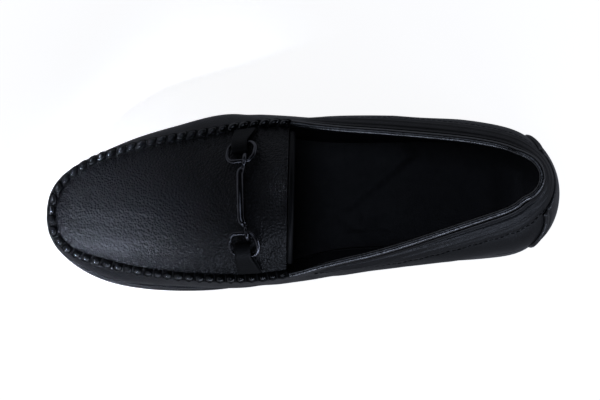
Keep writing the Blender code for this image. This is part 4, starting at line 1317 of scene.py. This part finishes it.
def inlay_cutter():
    """The recess of the red inlay."""
    steps = np.linspace(0.0, 1.0, INLAY_STATIONS)[:, None]
    low, high = (between(*np.array(rail), steps) for rail in (INLAY_LATERAL_RAIL, INLAY_MEDIAL_RAIL))
    low[:, 1] -= GAP
    high[:, 1] += GAP
    for rail in (low, high):
        rail[0, 0] -= 3 * GAP
        rail[-1, 0] += GAP
    plan = np.vstack([low, high])
    bottom, top = (np.column_stack([plan, tread_height(plan[:, 0]) + above])
                   for above in (-INLAY_RECESS, INLAY_RECESS))
    return add_shell("cutter", bottom, top, grid_faces(numbers(2, INLAY_STATIONS).T), [])


def tread_cutters():
    """Every groove, fine line and recess of the tread."""
    cutters = [line_cutter(line, GROOVE_WIDTH, GROOVE_DEPTH, SQUARE_CUT) for line in FLEX_GROOVES]
    fine = [*TREAD_LINES, *((fan.hub, end) for fan in TREAD_FANS for end in fan.ends)]
    for line in fine:
        cutters.append(line_cutter(np.array(line) / 1000, FINE_LINE_WIDTH, FINE_LINE_DEPTH, POINTED_CUT))
    return [*cutters, inlay_cutter()]


def cut_all(piece, cutters):
    """Take the cutters out of a piece and keep the result as its mesh."""
    group = bpy.data.collections.new("cutters")
    for cutter in cutters:
        bpy.context.scene.collection.objects.unlink(cutter)
        group.objects.link(cutter)
    modifier = piece.modifiers.new("grooves", "BOOLEAN")
    modifier.operation = "DIFFERENCE"
    modifier.solver = "EXACT"
    modifier.operand_type = "COLLECTION"
    modifier.collection = group
    bpy.context.view_layer.update()
    made = bpy.data.meshes.new_from_object(piece.evaluated_get(bpy.context.evaluated_depsgraph_get()))
    piece.modifiers.clear()
    piece.data = made
    for cutter in cutters:
        bpy.data.objects.remove(cutter, do_unlink=True)
    bpy.data.collections.remove(group)


def add_outsole():
    """The rubber unit: tread, edge band, side with its groove, lip and cup floor."""
    around = columns_around(*SOLE_COLUMNS)
    x, _, _, _, _, tread = LOOP.at(around)[0].T
    bottom, lip, floor = tread_height(x), lip_height(x), floor_height(x)
    edge = bottom + EDGE_RISE + ARCH_BAND_SLOPE * (tread - TREAD_RIM)
    groove = lip - SIDE_GROOVE_BELOW_LIP
    step = SIDE_GROOVE_DEPTH
    # Offsets from the outline and heights, from the tread up the side and over the lip to the floor
    levels = (
        (-tread, bottom), (-0.6 * tread, between(bottom, edge, 0.35)), (-step, edge),
        (-0.35 * step, edge + 0.4 * step), (0.0, edge + step),
        (0.0, groove), (-0.7 * step, groove + 0.2 * step), (-step, groove + 0.6 * step),
        (-step, groove + 1.5 * step), (-0.5 * step, groove + 2.2 * step), (-step / 3, groove + 2.7 * step),
        (-step / 3, lip - step), (-0.55 * step, lip - 0.4 * step), (-step, lip),
        (-LIP_WIDTH, lip), (-LIP_WIDTH, floor),
    )
    count = len(around)
    grid = numbers(len(levels), count)
    faces = grid_faces(grid, closed=True)
    vertices = list(np.vstack([ring(around, offset, height) for offset, height in levels]))
    stations = sum(SOLE_COLUMNS)
    shares = np.linspace(0.0, 1.0, SOLE_ACROSS + 1)[1:-1, None]
    for loop, height_of in ((grid[0], tread_height), (grid[-1], floor_height)):
        strips = []
        for m, l in zip(loop[1:stations], loop[:stations:-1]):
            inside = between(vertices[m], vertices[l], shares)
            inside[:, 2] = height_of(inside[:, 0])
            strips.append([m, *range(len(vertices), len(vertices) + len(inside)), l])
            vertices.extend(inside)
        faces += grid_faces(strips) + fan_faces(loop[0], strips[0]) + fan_faces(loop[stations], strips[-1])
    piece = add_mesh("sole_unit", vertices, faces, [RUBBER], sharp=SOLE_SHARP)
    cut_all(piece, tread_cutters())
    soften(piece.data, SOLE_SHARP)
    dress(piece, "sole_rubber", "outsole")


# Stage, lights and camera

CAMERA_TARGET = Vector((0.0, 0.0002, 0.028))
CAMERA_DISTANCE = 1.3
CAMERA_ELEVATION = 81.5
CAMERA_ROLL = 1.95
CAMERA_LENS = 136.0
FLOOR_SIZE = 8.0
FLOOR_GLOW = 0.900
FLOOR_TONES = ((0.54, 0.54, 0.56), (0.56, 0.56, 0.58))
# Brightness of the surroundings by height: -1 straight down, 0 at the horizon, 1 overhead
SKY_TONES = ((-0.20, 0.22), (0.04, 0.50), (0.28, 0.32), (0.60, 0.0))
SKY_TINT = np.array((0.80, 0.85, 1.0))
LIGHT_TINT = (0.70, 0.79, 1.0)


def add_floor():
    """A pale floor, lit from within like a light table and left out of the shoe's reflections."""
    half = FLOOR_SIZE / 2
    mesh = bpy.data.meshes.new("floor")
    corners = [(-half, -half, 0.0), (half, -half, 0.0), (half, half, 0.0), (-half, half, 0.0)]
    mesh.from_pydata(corners, [], [(0, 1, 2, 3)])
    material, tree, shader, place = start_material(
        "floor_paint", Roughness=0.85, Specular_IOR_Level=0.1, Emission_Strength=FLOOR_GLOW)
    feed(tree, shader, Base_Color=ramp(tree, noise(tree, place, 3.0, 2.0), NOISE_SPAN, FLOOR_TONES))
    mesh.materials.append(material)
    floor = bpy.data.objects.new("floor", mesh)
    floor.visible_glossy = False
    bpy.context.scene.collection.objects.link(floor)


def add_light(name, place, target, size, power, spread=180.0):
    """A soft rectangular light that faces a target, with a narrower beam if asked."""
    data = bpy.data.lights.new(name, "AREA")
    data.shape = "RECTANGLE"
    data.size, data.size_y = size
    data.energy = power
    data.color = LIGHT_TINT
    data.spread = math.radians(spread)
    light = bpy.data.objects.new(name, data)
    light.location = place
    light.rotation_mode = "QUATERNION"
    light.rotation_quaternion = (Vector(target) - Vector(place)).to_track_quat("-Z", "Y")
    bpy.context.scene.collection.objects.link(light)


def add_sky():
    """Even studio surroundings, brightest at the horizon."""
    world = bpy.data.worlds.new("studio")
    world.use_nodes = True
    tree = world.node_tree
    up = add_node(tree, "SeparateXYZ", "Z", Vector=add_node(tree, "TexCoord", "Generated"))
    heights, tones = zip(*SKY_TONES)
    sky = ramp(tree, span(tree, up, -1.0, 1.0, 0.0, 1.0), [(1.0 + height) / 2 for height in heights],
               [SKY_TINT * tone for tone in tones])
    feed(tree, tree.nodes["Background"], Color=sky, Strength=1.0)
    bpy.context.scene.world = world
    bpy.context.scene.view_settings.view_transform = "Standard"


def add_camera():
    """The photograph's view: from above, a little from the medial side, slightly rolled."""
    elevation = math.radians(CAMERA_ELEVATION)
    back = Vector((0.0, math.cos(elevation), math.sin(elevation)))
    data = bpy.data.cameras.new("camera")
    data.lens = CAMERA_LENS
    data.clip_start, data.clip_end = 0.01, 20.0
    camera = bpy.data.objects.new("camera", data)
    camera.location = CAMERA_TARGET + back * CAMERA_DISTANCE
    camera.rotation_mode = "QUATERNION"
    roll = Quaternion((0.0, 0.0, 1.0), math.radians(-CAMERA_ROLL))
    camera.rotation_quaternion = (-back).to_track_quat("-Z", "Y") @ roll
    bpy.context.scene.collection.objects.link(camera)
    bpy.context.scene.camera = camera


add_floor()
add_sky()
add_light("key", (0.42, 0.41, 0.415), (0.120, 0.027, 0.045), (0.07, 0.07), 0.0405, 8.0)
add_light("toe", (0.45, 0.0, 0.56), (0.135, -0.003, 0.042), (0.08, 0.08), 0.008, 8.0)
add_light("toe_lateral", (0.43, -0.32, 0.49), (0.125, -0.022, 0.045), (0.07, 0.07), 0.0029, 8.0)
add_light("fill", (0.25, 0.0, 1.42), (0.0, 0.0, 0.03), (0.6, 0.6), 1.4)
add_light("instep", (0.396, 0.072, 0.534), (0.0135, -0.003, 0.078), (0.022, 0.006), 0.00022, 1.3)
add_light("low_medial", (-0.05, 1.30, 0.50), (0.0, 0.0, 0.05), (1.6, 0.15), 8.0)
add_light("low_heel", (-1.20, 0.60, 0.45), (-0.05, 0.0, 0.04), (0.8, 0.3), 3.4)
add_camera()

add_outsole()
add_insole()
add_upper()
add_moc_seam()
add_moc_thread()
add_moc_beads()
add_piping()
add_throat_binding()
add_back_strap()
add_stitches()
for side_name, side_sign in (("medial", 1), ("lateral", -1)):
    add_bit_ring(side_name, side_sign)
    add_keeper_tab(side_name, side_sign)
add_bit_bar()

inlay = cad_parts["tread_inlay"]
inlay.data.materials.clear()
inlay.data.materials.append(INLAY_RUBBER)
